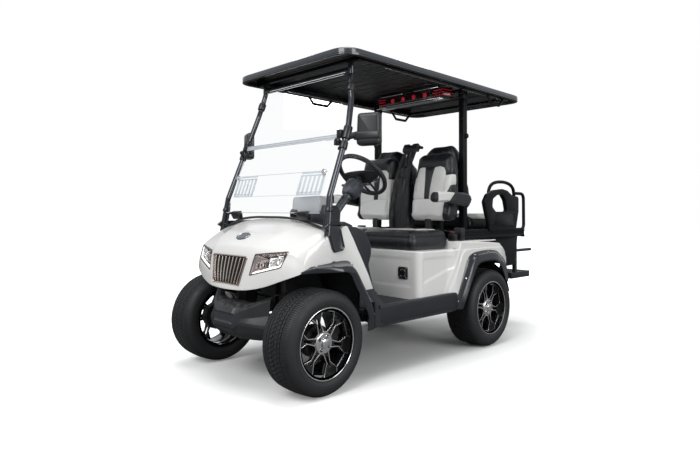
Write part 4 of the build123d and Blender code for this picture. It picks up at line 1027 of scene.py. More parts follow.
def side_relief(y, z):
    """How far the tub's side stands out: sunk panel, slanting fold and steps round the arch."""
    out = 0.0
    panel = smooth((y - 905) / 14) * smooth((1265 - y) / 60) * smooth((700 - z) / 10)
    fold = z - lerp(531, 599, (y - 884) / 254)
    below = smooth((z - 470) / 14)
    out -= panel * below * (4 - 4 * smooth(-fold / 10) * smooth((y - 900) / 40))
    near = arch_distance(y, z)
    if z < 741:
        out += 5 * smooth((74 - near) / 12) + 4 * smooth((112 - near) / 12)
    return out


def tub_plan_path():
    """Plan of the tub from the middle of the front round the side to the rear: (x, y, outward x, outward y)."""
    corner, steps = 44, 8
    path = [(TUB_SIDE - corner - (TUB_SIDE - corner) * (1 - i / 44), TUB_FRONT, 0, -1) for i in range(44)]
    for i in range(steps + 1):
        turn = pi / 2 * i / steps
        path.append((TUB_SIDE - corner + corner * sin(turn), TUB_FRONT + corner - corner * cos(turn), sin(turn),
                     -cos(turn)))
    y = TUB_FRONT + corner + 9
    while y < TUB_REAR - 60:
        bulge = smooth((y - (WHEELBASE - 500)) / 90) * smooth((TUB_REAR - 20 - y) / 150)
        path.append((TUB_SIDE + (TUB_FENDER - 4 - TUB_SIDE) * bulge, y, 1, 0))
        y += 9
    for i in range(steps + 1):
        turn = pi / 2 * i / steps
        path.append((TUB_SIDE - 50 + 50 * cos(turn), TUB_REAR - 52 + 50 * sin(turn), cos(turn), sin(turn)))
    path.append((440, TUB_REAR - 2, 0, 1))
    return path


class CART_OT_tub(bpy.types.Operator):
    """White seat box and rear fenders, with its recessed panels and its power socket"""
    bl_idname = "cart.tub"
    bl_label = "Seat box"

    def execute(self, context):
        rings = []
        rows = 34
        for x, y, out_x, out_y in tub_plan_path():
            low, high = tub_low(y), tub_high(y)
            if out_y < -0.9:
                low = TUB_BOTTOM
            ring = []
            for row in range(rows + 1):
                z = lerp(low, high - TUB_EDGE, row / rows)
                lift = self.relief(x, y, z, out_y)
                ring.append((x + out_x * lift, y + out_y * lift, z))
            for step in range(1, 5):
                turn = pi / 2 * step / 4
                inward = TUB_EDGE - TUB_EDGE * cos(turn)
                ring.append((x - out_x * inward, y - out_y * inward, high - TUB_EDGE + TUB_EDGE * sin(turn)))
            ring.append((x - out_x * 40, y - out_y * 40, high))
            rings.append(ring)
        form = Form().loft(rings, closed=False)
        form.mirror()
        piece = form.mesh("body_tub", [FINISHES["paint"]], weld=0.3)
        finish_piece(piece, "cart", "body_white", wall=5, angle=50)
        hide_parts("body_tub")
        self.add_deck()
        self.add_socket()
        return {"FINISHED"}

    def relief(self, x, y, z, out_y):
        if out_y > 0.5:
            return 0
        if out_y < -0.9:
            sunk = smooth((z - 502) / 10) * smooth((698 - z) / 10) * smooth((508 - x) / 10)
            return -5 * sunk
        return side_relief(y, z) * (1 if out_y > -0.5 else 0.6)

    def add_deck(self):
        """Closing panels on top of the box, under the seats and the deck."""
        form = Form()
        form.block(-540, 540, TUB_FRONT + 14, 1318, 738, 747)
        form.block(-560, 560, 1312, WHEELBASE + 180, 790, 800)
        form.block(-560, 560, 1308, 1318, 740, 799)
        form.make("body_tub_top", "paint", "body_white", bevel=2)

    def add_socket(self):
        """Square black power socket on the box's front face."""
        x0, x1, z0, z1 = 388, 470, 556, 638
        form = Form()
        rim, screw_in = 14, 9
        plate = rounded_outline(rectangle(x0, x1, z0, z1), 12)
        inner = rounded_outline(rectangle(x0 + rim, x1 - rim, z0 + rim, z1 - rim), 14)
        form.layers("y", ((TUB_FRONT + 6, plate), (TUB_FRONT - 3, plate), (TUB_FRONT - 5, grown(plate, -2)),
                          (TUB_FRONT - 5, inner), (TUB_FRONT + 3, grown(inner, -3))), caps=False)
        form.turned([(-3, 22), (-3, 17), (6, 16)], ((x0 + x1) / 2, TUB_FRONT, (z0 + z1) / 2), (0, 1, 0), 24)
        form.make("power_socket", "black", "black_moulding", angle=40)
        corners = rectangle(x0 + screw_in, x1 - screw_in, z0 + screw_in, z1 - screw_in)
        for number, (x, z) in enumerate(corners):
            add_screw_head("socket_screw_%d" % number, (x, TUB_FRONT - 5, z), (0, -1, 0), 3.6, "cart")


# ---------------------------------------------------------------- sills, mat and guards
class CART_OT_sills(bpy.types.Operator):
    """Black sills with their step line, the floor mat and the dark leg guards"""
    bl_idname = "cart.sills"
    bl_label = "Sills and guards"

    def execute(self, context):
        self.add_sills()
        self.add_guards()
        self.add_post_covers()
        mat = Form().block(-543, 543, 386, TUB_FRONT + 2, 419, 424)
        mat.loft([[(-240, 372, 424), (240, 372, 424), (240, 368, 420), (-240, 368, 420)],
                  [(-240, 252, 632), (240, 252, 632), (240, 248, 628), (-240, 248, 628)]])
        mat.make("floor_mat", "mat", "black_moulding", bevel=1)
        return {"FINISHED"}

    def add_sills(self):
        # columns: x from the cart's middle, z of the section, from the inner top edge round to the bottom
        section = ((546, 428), (560, 440), (594, 443), (603, 441), (608, 434), (609, 420), (609, 352), (608, 346),
                   (605.8, 341), (605.4, 332), (604, 321), (596, 316), (550, 317))
        form = Form()
        # columns: station, rise of the top edge, shift of everything outwards
        rings = []
        for y, rise, out in ((455, -4, -4), (460, 0, -1), (520, 0, 0), (858, 1, 0), (862, 1, -1), (866, 1, 0),
                             (1240, 4, 0), (1262, 4, -4)):
            rings.append([(x + out, y, z + (rise if z > 400 else 0)) for x, z in section])
        form.loft(rings)
        # columns: height, then the leg's front edge and rear edge as (x, y)
        rings = []
        for z, (x0, y0), (x1, y1) in ((548, (566, 350), (556, 425)), (520, (571, 366), (557, 470)),
                                      (480, (577, 392), (560, 499)), (446, (583, 416), (570, 522)),
                                      (424, (590, 430), (596, 540)), (400, (598, 440), (607, 548)),
                                      (345, (604, 446), (607.5, 552)), (318, (602, 448), (603, 552))):
            rings.append([(x0 - 30, y0, z), (x0 - 5, y0, z), (x0, y0 + 5, z), lerp((x0 + 4, y0, z), (x1, y1, z), 0.45),
                          (x1, y1 - 5, z), (x1 - 5, y1, z), (x1 - 30, y1, z)])
        form.loft(rings)
        form.mirror()
        form.make("sills", "charcoal", "black_moulding", bevel=1.2, angle=45)
        for sign in (1, -1):
            add_screw_head("sill_screw_" + ("left" if sign > 0 else "right"), (sign * 597, 446, 404), (sign, -0.3, 0),
                           4, "cart")

    def add_guards(self):
        front = [(222, 921), (262, 845), (300, 775), (345, 690), (380, 612), (400, 560), (410, 520), (424, 470)]
        rear = smooth_line([(496, 470, 0), (462, 540, 0), (432, 620, 0), (414, 690, 0), (424, 722, 0), (434, 762, 0),
                            (430, 805, 0), (404, 860, 0), (352, 903, 0), (300, 920, 0), (222, 925, 0)], 4)
        outline = front + [(p[0], p[1]) for p in rear[:-1]]
        form = Form()
        form.layers("x", [(x, self.drawn_in(outline, inset))
                          for x, inset in ((500, 0), (536, 0), (543, 1.5), (547, 5), (548.5, 10))])
        form.mirror()
        piece = form.make("leg_guards", "charcoal", "charcoal_moulding", angle=60)
        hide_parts("leg_guards")

    def drawn_in(self, outline, by):
        """Outline moved towards its own inside."""
        moved = []
        for i, point in enumerate(outline):
            a, b = Vector(outline[i - 1]), Vector(outline[(i + 1) % len(outline)])
            normal = Vector(((b - a).y, -(b - a).x))
            if normal.length:
                normal.normalize()
            area_side = 1 if self.turns_left(outline) else -1
            moved.append(tuple(Vector(point) - normal * by * area_side))
        return moved

    def turns_left(self, outline):
        return sum(a[0] * b[1] - b[0] * a[1] for a, b in zip(outline, outline[1:] + outline[:1])) > 0

    def add_post_covers(self):
        """Rounded covers with a groove, over the front posts' feet."""
        outline = rounded_outline([(24, 920), (60, 944), (150, 946), (184, 934), (158, 912), (190, 806), (176, 786),
                                   (112, 777), (96, 797), (62, 896)], 7)
        form = Form()
        # columns: x of the ring, how far it is drawn in
        form.layers("x", [(x, self.drawn_in(outline, inset))
                          for x, inset in ((540, 0), (564, 0), (568, 1.5), (570, 5), (568, 8), (567, 12))])
        form.mirror()
        form.make("post_covers", "flare", "charcoal_moulding", angle=50)


# ---------------------------------------------------------------- frame and running gear
class CART_OT_frame_finishes(bpy.types.Operator):
    """Finishes of the CAD nodes whose shapes show as they are"""
    bl_idname = "cart.frame_finishes"
    bl_label = "Frame finishes"

    def execute(self, context):
        finishes = FINISHES
        paint_nodes(finishes["chassis"], "chassis_frame", "footplate", "rear_pillars", "deck_frame", "roof_rails")
        paint_nodes(finishes["cast"], "front_axle", "rear_axle", "knuckle_left", "knuckle_right")
        paint_nodes(finishes["case"], "battery_pack")
        paint_nodes(finishes["post"], "front_pillars")
        paint_nodes(finishes["pane"], "windshield")
        paint_nodes(finishes["paint"], "cowl", "body_tub")
        paint_nodes(finishes["charcoal_node"], "leg_guards", "front_bumper", "floor_pan", "dashboard", "mirrors",
                    "steering_column", "fender_flares", "rear_valance", "rear_armrests", "sound_bar")
        paint_nodes(finishes["leather"], "front_cushion", "front_seatbacks", "seat_divider", "rear_seatbacks",
                    "rear_cushion", "armrest_left", "armrest_right")
        paint_nodes(finishes["webbing"], "front_belts")
        paint_nodes(finishes["roof"], "roof")
        paint_nodes(finishes["grip"], "steering_wheel")
        paint_nodes(finishes["warm_chrome"], "grille")
        paint_nodes(finishes["chrome"], "headlights")
        for corner in ("front_left", "front_right", "rear_left", "rear_right"):
            paint_nodes(finishes["rubber"], "tyre_" + corner)
            paint_nodes(finishes["gloss_black"], "rim_" + corner)
        return {"FINISHED"}


# ---------------------------------------------------------------- wheels
CORNERS = (("front_left", 1, 0), ("front_right", -1, 0), ("rear_left", 1, WHEELBASE),
           ("rear_right", -1, WHEELBASE))
TREAD_PITCHES = 72
TREAD_R = 291
# Columns across half of the tread: distance from the middle, depth of the groove there, share of the zigzag.
TREAD_COLUMNS = ((0, 0, 0), (5, 0, 1), (6, 6, 1), (11, 6, 1), (12, 0, 1), (24, 0, 1), (35, 0, 1), (36, 6, 1),
                 (41, 6, 1), (42, 0, 1), (55, 0, 0.3), (56, 5.5, 0), (60, 5.5, 0), (61, 0, 0), (76, 0, 0), (90, 0, 0),
                 (101, 0, 0), (109, 0, 0))
# Rows round one pitch: share of the pitch, whether a lateral cut lies there.
TREAD_ROWS = ((0, 0), (0.02, 1), (0.14, 1), (0.16, 0), (0.5, 0), (0.52, 1), (0.62, 1), (0.64, 0), (1, 0))
SPOKE_ARMS = 6
DISC_FACE_X = 76
SHOULDER_X, TREAD_HALF = 61, 109    # inner edge of the shoulder blocks and edge of the tread


def tread_radius(x):
    """Radius of the tread's crown at a distance from the middle."""
    return TREAD_R - 5.5 * (abs(x) / 100) ** 2 - (max(abs(x) - 88, 0) / 21) ** 2 * 14


def tread_pitch():
    """One pitch of the tread, facing up from the wheel's own middle."""
    step = 2 * pi / TREAD_PITCHES
    columns = [(-x, depth, zig) for x, depth, zig in reversed(TREAD_COLUMNS[1:])] + list(TREAD_COLUMNS)
    rows = []
    for share, lateral in TREAD_ROWS:
        row = []
        for x, depth, zig in columns:
            wave = 2 * abs(2 * share - 1) - 1
            side = 1 if x > 0 else -1 if x < 0 else 0
            place = x + side * zig * 4.5 * wave
            skew = min(abs(x), 64) / 64 * step * 0.9
            edge = abs(x)
            if depth:
                down = depth
            elif lateral and edge >= SHOULDER_X:
                down = 4.2 if edge < TREAD_HALF else 0
            elif lateral and 12 <= edge <= 42 and share < 0.3:
                down = 4.5
            elif lateral and edge == 24:
                down = 2.0
            else:
                down = 0
            radius = tread_radius(place) - down
            turn = share * step - skew
            row.append((place * MM, -sin(turn) * radius * MM, cos(turn) * radius * MM))
        rows.append(row)
    count = len(columns)
    faces = []
    for r in range(len(rows) - 1):
        for i in range(count - 1):
            faces.append((r * count + i, r * count + i + 1, (r + 1) * count + i + 1, (r + 1) * count + i))
    data = bpy.data.meshes.new("tread_pitch")
    data.from_pydata([p for row in rows for p in row], [], faces)
    return data


def array_tree(name, inputs):
    """Node tree with a geometry going through and named inputs of given kinds, and the inputs' sockets."""
    tree = bpy.data.node_groups.new(name, "GeometryNodeTree")
    add = tree.interface.new_socket
    add("Geometry", in_out="INPUT", socket_type="NodeSocketGeometry")
    sockets = [add(label, in_out="INPUT", socket_type="NodeSocket" + kind) for label, kind in inputs]
    add("Geometry", in_out="OUTPUT", socket_type="NodeSocketGeometry")
    return tree, sockets


def run_array(piece, tree, links, values):
    """Links the tree's nodes and gives the piece the mesh they make; values are (socket, value)."""
    for a, b in links:
        tree.links.new(a, b)
    nodes = piece.modifiers.new("Array", "NODES")
    nodes.node_group = tree
    for socket, value in values:
        nodes[socket.identifier] = value
    return apply_modifiers(piece)


def ring_array(data, count, material, name, weld=0.05):
    """Mesh repeated round the X axis by a node tree, as a plain mesh."""
    tree, (number,) = array_tree(name, [("Count", "Int")])
    start = tree.nodes.new("NodeGroupInput")
    end = tree.nodes.new("NodeGroupOutput")
    points = tree.nodes.new("GeometryNodePoints")
    index = tree.nodes.new("GeometryNodeInputIndex")
    full = tree.nodes.new("ShaderNodeMath")
    full.operation = "DIVIDE"
    full.inputs[0].default_value = 2 * pi
    turn = tree.nodes.new("ShaderNodeMath")
    turn.operation = "MULTIPLY"
    spin = tree.nodes.new("ShaderNodeCombineXYZ")
    place = tree.nodes.new("GeometryNodeInstanceOnPoints")
    real = tree.nodes.new("GeometryNodeRealizeInstances")
    merge = tree.nodes.new("GeometryNodeMergeByDistance")
    merge.inputs["Distance"].default_value = weld * MM
    finish = tree.nodes.new("GeometryNodeSetMaterial")
    finish.inputs["Material"].default_value = material
    links = ((start.outputs["Count"], points.inputs["Count"]), (start.outputs["Count"], full.inputs[1]),
             (index.outputs[0], turn.inputs[0]), (full.outputs[0], turn.inputs[1]),
             (turn.outputs[0], spin.inputs["X"]), (points.outputs[0], place.inputs["Points"]),
             (start.outputs["Geometry"], place.inputs["Instance"]), (spin.outputs[0], place.inputs["Rotation"]),
             (place.outputs[0], real.inputs[0]), (real.outputs[0], merge.inputs["Geometry"]),
             (merge.outputs[0], finish.inputs["Geometry"]), (finish.outputs[0], end.inputs[0]))
    piece = run_array(placed(name, data), tree, links, [(number, count)])
    made = piece.data
    bpy.data.objects.remove(piece, do_unlink=True)
    return made


def joined_mesh(name, meshes, angle):
    """One mesh out of several, normals outwards, smooth below an angle."""
    work = bmesh.new()
    materials = []
    for data in meshes:
        first = len(work.faces)
        work.from_mesh(data)
        work.faces.ensure_lookup_table()
        for face in work.faces[first:]:
            own = data.materials[face.material_index]
            if own not in materials:
                materials.append(own)
            face.material_index = materials.index(own)
    made = bpy.data.meshes.new(name)
    work.to_mesh(made)
    work.free()
    for material in materials:
        made.materials.append(material)
    made.polygons.foreach_set("use_smooth", [True] * len(made.polygons))
    made.set_sharp_from_angle(angle=radians(angle))
    return made


def turned_mesh(profile, finish, steps=96, caps=False):
    """Mesh turned about X from (x, radius) points in mm, about the wheel's own middle."""
    form = Form()
    form.turned(profile, (0, 0, 0), (1, 0, 0), steps, caps=caps)
    return local_mesh(form, [FINISHES[finish]])


def local_mesh(form, materials):
    """Mesh of a form whose points stay about the wheel's own middle."""
    points = [tuple(c * MM for c in p) for p in form.points]
    return built_mesh("local", points, form.faces, form.finishes, materials, FINE_WELD)


def polar(radius, degrees_off):
    """(y, z) point at a radius and an angle from straight up."""
    return (radius * sin(radians(degrees_off)), radius * cos(radians(degrees_off)))


def plate_mesh(outlines, low_x, high_x, bevel, finish):
    """Flat plate with holes: closed (y, z) outlines in mm, the first the outermost."""
    curve = bpy.data.curves.new("plate", "CURVE")
    curve.dimensions = "2D"
    curve.fill_mode = "BOTH"
    curve.extrude = (high_x - low_x) / 2 * MM - bevel * MM
    curve.bevel_depth = bevel * MM
    curve.bevel_resolution = 1
    curve.offset = -bevel * MM
    for outline in outlines:
        spline = curve.splines.new("POLY")
        spline.points.add(len(outline) - 1)
        for point, (u, v) in zip(spline.points, outline):
            point.co = (u * MM, v * MM, 0, 1)
        spline.use_cyclic_u = True
    holder = placed("plate", curve)
    bpy.context.view_layer.update()
    data = bpy.data.meshes.new_from_object(holder.evaluated_get(bpy.context.evaluated_depsgraph_get()))
    bpy.data.objects.remove(holder, do_unlink=True)
    # the plate's own x, y, z become the wheel's y, z, x
    turn = Matrix(((0, 0, 1, (low_x + high_x) / 2 * MM), (1, 0, 0, 0), (0, 1, 0, 0), (0, 0, 0, 1)))
    data.transform(turn)
    data.materials.clear()
    data.materials.append(FINISHES[finish])
    return data


def hexagon_window(turn, grow=0.0):
    """Outline of one long six-sided window between two double spokes."""
    # columns: radius mm, half angle degrees
    half = ((66 - grow, 10.5), (118, 23), (177 + grow, 13.5))
    points = [polar(r, turn + a) for r, a in half] + [polar(r, turn - a) for r, a in reversed(half)]
    return rounded_outline(grown(points, grow) if grow else points, 5, steps=3)


def tyre_mesh():
    tread = ring_array(tread_pitch(), TREAD_PITCHES, FINISHES["rubber"], "tread")
    end = TREAD_COLUMNS[-1][0]
    side = [(end, tread_radius(end)), (115, 263), (119.5, 252), (121.5, 238), (121.6, 232), (120.6, 231), (120.4, 226),
            (121.4, 225), (120, 216), (117.6, 209), (117, 207.6), (115.4, 207), (113.6, 204.8), (112.6, 202),
            (106, 200), (105, 190), (105, 179)]
    whole = side + [(-x, r) for x, r in reversed(side)]
    walls = turned_mesh(whole, "rubber", TREAD_PITCHES * 2)
    return joined_mesh("tyre", [tread, walls], 38)


def rim_mesh():
    barrel = [(-112, 204), (-112, 198), (-104, 188), (-96, 180), (-60, 168), (20, 166), (60, 172), (74, 180),
              (88, 183), (92, 187), (100, 188), (104, 190), (106.5, 191.2), (111.5, 191.6)]
    lip = [(111.5, 191.6), (113, 193), (113, 196.5), (112.2, 198), (112, 204), (106, 204), (105, 200), (105, 178.4),
           (-105, 178.4), (-105, 200), (-106, 204), (-112, 204)]
    inner = turned_mesh(barrel, "gloss_black")
    outer = turned_mesh(lip, "gloss_black")
    shine = turned_mesh([(112.2, 191.4), (113.6, 192.2), (114, 193.4), (114, 195.6), (113.4, 196.8), (112.2, 197.4)],
                        "machined")
    circle = [polar(181, 360 * i / 120) for i in range(120)]
    turns = [360 / SPOKE_ARMS * i + 12 for i in range(SPOKE_ARMS)]
    windows = [hexagon_window(turn) for turn in turns]
    slots = []
    for turn in turns:
        # columns: radius mm, half width mm of the slot that parts a spoke
        half = ((80, 4.5), (96, 6.5), (132, 9), (142, 6))
        middle = radians(turn + 180 / SPOKE_ARMS)
        right = [(r * sin(middle) + w * cos(middle), r * cos(middle) - w * sin(middle)) for r, w in half]
        left = [(r * sin(middle) - w * cos(middle), r * cos(middle) + w * sin(middle)) for r, w in reversed(half)]
        slots.append(rounded_outline(right + left, 4, steps=3))
    plate = plate_mesh([circle] + windows + slots, DISC_FACE_X - 20, DISC_FACE_X - 1, 1.5, "gloss_black")
    line = plate_mesh([hexagon_window(12, 4.6), hexagon_window(12, 0.6)], DISC_FACE_X - 4, DISC_FACE_X + 1.6, 0.9,
                      "machined")
    lines = ring_array(line, SPOKE_ARMS, FINISHES["machined"], "spoke_lines", weld=0.01)
    hub_face = [(DISC_FACE_X - 3, 62), (DISC_FACE_X + 5, 60), (DISC_FACE_X + 9, 56), (DISC_FACE_X + 10, 52),
                (DISC_FACE_X + 10, 30), (DISC_FACE_X + 13, 27), (DISC_FACE_X + 20, 25), (DISC_FACE_X + 23, 20),
                (DISC_FACE_X + 24, 0.5)]
    hub = turned_mesh(hub_face, "hub", 72, caps=True)
    core = turned_mesh([(30, 60), (DISC_FACE_X - 3, 60), (DISC_FACE_X - 3, 24), (30, 24)], "gloss_black", 48, caps=True)
    pieces = [inner, outer, shine, plate, lines, hub, core]
    for number in range(4):
        turn = radians(90 * number + 33)
        middle = (DISC_FACE_X + 9, 42 * sin(turn), 42 * cos(turn))
        nut = Form()
        nut.turned([(0.5, 9.5), (1.8, 9.5), (1.8, 7.6)], middle, (1, 0, 0), 20, 1)
        nut.turned([(0, 6.6), (9, 6.2), (12, 4.4), (13, 0.4)], middle, (1, 0, 0), 6)
        pieces.append(local_mesh(nut, [FINISHES["chrome"], FINISHES["pit"]]))
    valve = Form().turned([(DISC_FACE_X - 6, 4), (DISC_FACE_X + 18, 3.4), (DISC_FACE_X + 18, 0.4)],
                          (0, polar(160, 42)[0], polar(160, 42)[1]), (1, 0, 0), 12)
    pieces.append(local_mesh(valve, [FINISHES["grip"]]))
    return joined_mesh("rim", pieces, 35)


class CART_OT_wheels(bpy.types.Operator):
    """Road tyres with a cut tread on black alloy rims with machined edges"""
    bl_idname = "cart.wheels"
    bl_label = "Wheels"

    def execute(self, context):
        tyre, rim = tyre_mesh(), rim_mesh()
        for corner, side, station in CORNERS:
            place = Matrix.Translation((side * WHEEL_X * MM, AXLE.y + station * MM, WHEEL_Z * MM))
            turn = Matrix.Rotation(0 if side > 0 else pi, 4, "Z")
            for kind, data, slot in (("tyre_", tyre, "tyre_rubber"), ("rim_", rim, "rim_alloy")):
                own = data.copy()
                own.transform(place @ turn)
                piece = placed(kind + corner + "_detailed", own)
                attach(piece, "wheel_" + corner)
                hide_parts(kind + corner)
        return {"FINISHED"}


# ---------------------------------------------------------------- posts and windshield
ROOF_RIM = 1940
BAR_Z = 1441
POST_LINE = ((553, 62, 872), (535, 96, 1101), (520, 254, 1500), (484, 318, 1705), (452, 336, ROOF_RIM - 128),
             (446, 350, ROOF_RIM - 74), (446, 350, ROOF_RIM - 8))


def pane_y(z):
    """Station of the windshield's outer face at a height."""
    if z < BAR_Z:
        return 209 - (BAR_Z - z) * 0.350
    return 209 + (z - BAR_Z) * 0.285


def pane_half(z):
    """Half width of the windshield at a height."""
    return table_value([(962, 500), (BAR_Z, 478), (1868, 420)], z)


class CART_OT_posts(bpy.types.Operator):
    """Bent front posts with their clamps, sleeves and the cross bar under the roof"""
    bl_idname = "cart.posts"
    bl_label = "Front posts"

    def execute(self, context):
        form = Form()
        line = rounded_path(POST_LINE, 60)
        form.tube(line, 34, 40, sides=20, up=(1, 0, 0))
        form.tube(rounded_path([(512, 70, 905), (508, 88, 1010), (520, 100, 1080)], 30), 14, 14, sides=12)
        form.mirror()
        bar = [(-446, 346, ROOF_RIM - 98), (-440, 342, ROOF_RIM - 52), (440, 342, ROOF_RIM - 52),
               (446, 346, ROOF_RIM - 98)]
        form.tube(rounded_path(bar, 34), 18, 44, sides=16)
        piece = form.make("front_pillars", "post", "post_steel", angle=45)
        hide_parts("front_pillars")
        trims = Form()
        for side in (-12, 12):
            trims.tube([(-424, 336 + side, ROOF_RIM - 63), (424, 336 + side, ROOF_RIM - 63)], 5, 5, sides=8)
        trims.make("cross_bar_trim", "chrome", "post_steel")
        self.add_clamps()
        return {"FINISHED"}

    def add_clamps(self):
        """Black sleeves and clamps where the panes are held."""
        form = Form()
        # columns: x, y, z, radius, half length along the post
        for x, y, z, radius, half in ((521, 246, 1480, 27, 42), (524, 214, 1402, 25, 24), (463, 330, 1776, 26, 26),
                                      (541, 84, 1020, 23, 14)):
            form.turned([(-half, radius - 3), (-half + 3, radius), (half - 3, radius), (half, radius - 3)],
                        (x, y, z), (-0.04, 0.35, 1), 24)
        for x, y, z, wide, deep, high in ((490, 216, 1474, 34, 22, 50), (492, 196, 1420, 38, 26, 32),
                                          (470, 322, 1772, 20, 24, 40), (514, 88, 1032, 26, 14, 18)):
            form.block(x - wide / 2, x + wide / 2, y - deep / 2, y + deep / 2, z - high / 2, z + high / 2)
        form.turned([(-14, 12), (-12, 15), (12, 15), (14, 12)], (500, 188, 1432), (1, 0, 0), 18)
        form.turned([(-14, 9), (-12, 12), (12, 12), (14, 9)], (506, 206, 1386), (1, 0, 0), 18)
        form.mirror()
        form.make("post_clamps", "black", "black_moulding", bevel=3, angle=45)


class CART_OT_windshield(bpy.types.Operator):
    """Clear panes with their joint bar, vents, knobs and foot clips"""
    bl_idname = "cart.windshield"
    bl_label = "Windshield"

    def execute(self, context):
        panes = Form()
        # columns: low z, high z
        for low, high in ((1002, BAR_Z - 2), (BAR_Z + 2, 1866)):
            outline = [(-pane_half(low) + 6, low), (pane_half(low) - 6, low), (pane_half(high) - 6, high),
                       (-pane_half(high) + 6, high)]
            outline = rounded_outline(outline, 18)
            panes.loft([[(x, pane_y(z) + 1, z) for x, z in outline], [(x, pane_y(z) + 5.5, z) for x, z in outline]])
        piece = panes.make("windshield", "pane", "clear_pane", angle=30)
        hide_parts("windshield")
        bars = Form()
        half = pane_half(BAR_Z) - 8
        # columns: z, thickness, height
        for z, thick, high in ((BAR_Z + 31, 7, 6), (BAR_Z + 18, 8, 9), (BAR_Z + 6, 6, 5)):
            bars.tube([(-half, pane_y(z) - 4, z), (half, pane_y(z) - 4, z)], thick, high, sides=12)
        section = rectangle(1, 4, BAR_Z + 4, BAR_Z + 34)
        bars.loft([[(x, pane_y(z) - y, z) for y, z in section] for x in (-half, half)])
        bars.make("windshield_bar", "clear_bar", "clear_pane", bevel=0.8)
        self.add_vents()
        self.add_fittings()
        return {"FINISHED"}

    def add_vents(self):
        """Sliding strip across the lower pane, with five slots at each end."""
        low, high = 1108, 1256
        form = Form()

        def strip(x0, x1, z0, z1, lean=0):
            ring = [(x0, z0), (x1, z0), (x1 + lean, z1), (x0 + lean, z1)]
            form.loft([[(x, pane_y(z) - 3.5, z) for x, z in ring], [(x, pane_y(z) - 0.5, z) for x, z in ring]])

        for sign in (1, -1):
            inner, outer = sign * 236, sign * 456
            strip(inner, outer, high - 14, high)
            strip(inner, outer, high - 30, high - 22)
            strip(inner, outer, low, low + 12)
            strip(inner, outer, low + 16, low + 22)
            count = 6
            for number in range(count):
                x = lerp(inner + sign * 8, outer - sign * 8, number / (count - 1))
                wide = 11 if number in (0, count - 1) else 8
                strip(x - wide, x + wide, low + 10, high - 22)
        strip(-236, 236, high - 5, high - 1)
        strip(-236, 236, low + 2, low + 5)
        form.make("windshield_vents", "frosted", "clear_pane", bevel=0.5)

    def add_fittings(self):
        """Knobs on the strip, clips at the foot and the pane's pale lower edge."""
        knobs = Form()
        for x in (452, -452):
            z = 1242
            knobs.turned([(0, 15), (3, 15), (4, 11), (12, 11), (13, 16), (20, 16), (22, 13), (22, 5), (19, 3)],
                         (x, pane_y(z) - 2, z), (0, -1, 0.34), 28)
        knobs.make("vent_knobs", "chrome", "grille_chrome", angle=40)
        clips = Form()
        for x in (352, -358):
            clips.prism([(52, 958), (36, 984), (34, 1008), (64, 1016), (72, 996), (78, 960)], "x", x - 44, x + 44)
            clips.prism([(30, 990), (26, 1004), (64, 1012), (66, 1000)], "x", x - 58, x - 20)
        clips.make("windshield_clips", "black", "black_moulding", bevel=5)
        edge = Form().tube([(-490, pane_y(1003) + 2, 1003), (490, pane_y(1003) + 2, 1003)], 5, 5, sides=8)
        edge.make("windshield_edge", "clear_bar", "clear_pane")


# ---------------------------------------------------------------- mirrors
class CART_OT_mirrors(bpy.types.Operator):
    """Door mirrors turned a little outwards, each on its arm"""
    bl_idname = "cart.mirrors"
    bl_label = "Mirrors"
    turn = 22

    def execute(self, context):
        centre = Vector((622, 326, 1502))
        shell = Form()
        outline = rounded_outline([(-76, -98), (76, -98), (72, 98), (-68, 98)], 26, 6)
        ring_rows = ((26, 3), (24, 0), (4, 0), (-14, 3), (-22, 9), (-26, 20), (-26.4, 25))
        shell.loft([[self.place(centre, (u, y, v)) for u, v in grown(outline, -inset)] for y, inset in ring_rows])
        band = rounded_outline([(-78, -62), (77, -62), (77, -16), (-78, -16)], 10, 4)
        shell.loft([[self.place(centre, (u, y, v)) for u, v in grown(band, -inset)]
                    for y, inset in ((2, -1), (-22, -1), (-30, 2), (-33, 8))])
        arm = [(-86, -62), (-60, -62), (-60, -16), (-86, -20)]
        shell.loft([[self.place(centre, (u, depth, v)) for u, v in arm] for depth in (-24, 6)])
        shell.tube(rounded_path([(522, 244, 1456), (540, 262, 1462), (560, 292, 1472), (580, 306, 1474)], 20), 34, 38,
                   sides=16)
        shell.mirror()
        piece = shell.make("mirrors", "mirror_shell", "black_moulding", bevel=2.5, angle=45)
        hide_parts("mirrors")
        glass = Form()
        inner = grown(outline, -8)
        glass.loft([[self.place(centre, (u, depth, v)) for u, v in inner] for depth in (25, 27.2)])
        glass.mirror()
        glass.make("mirror_glass", "mirror", "grille_chrome", angle=30)
        return {"FINISHED"}

    def place(self, centre, local):
        """Point of the left mirror from its own middle."""
        x, y, z = local
        turn = radians(self.turn)       # degrees the mirror faces outwards
        return (centre.x + x * cos(turn) - y * sin(turn), centre.y + x * sin(turn) + y * cos(turn), centre.z + z)


# ---------------------------------------------------------------- dash and steering
HUB = Vector((300, 601, 1257))
TILT = radians(47)
UP_COLUMN = Vector((0, cos(TILT), sin(TILT)))
UP_FACE = Vector((0, -sin(TILT), cos(TILT)))
ACROSS = Vector((1, 0, 0))


def on_wheel(u, v, w):
    """Point of the steering wheel: u across, v towards its top, w up the column."""
    return HUB + ACROSS * u + UP_FACE * v + UP_COLUMN * w


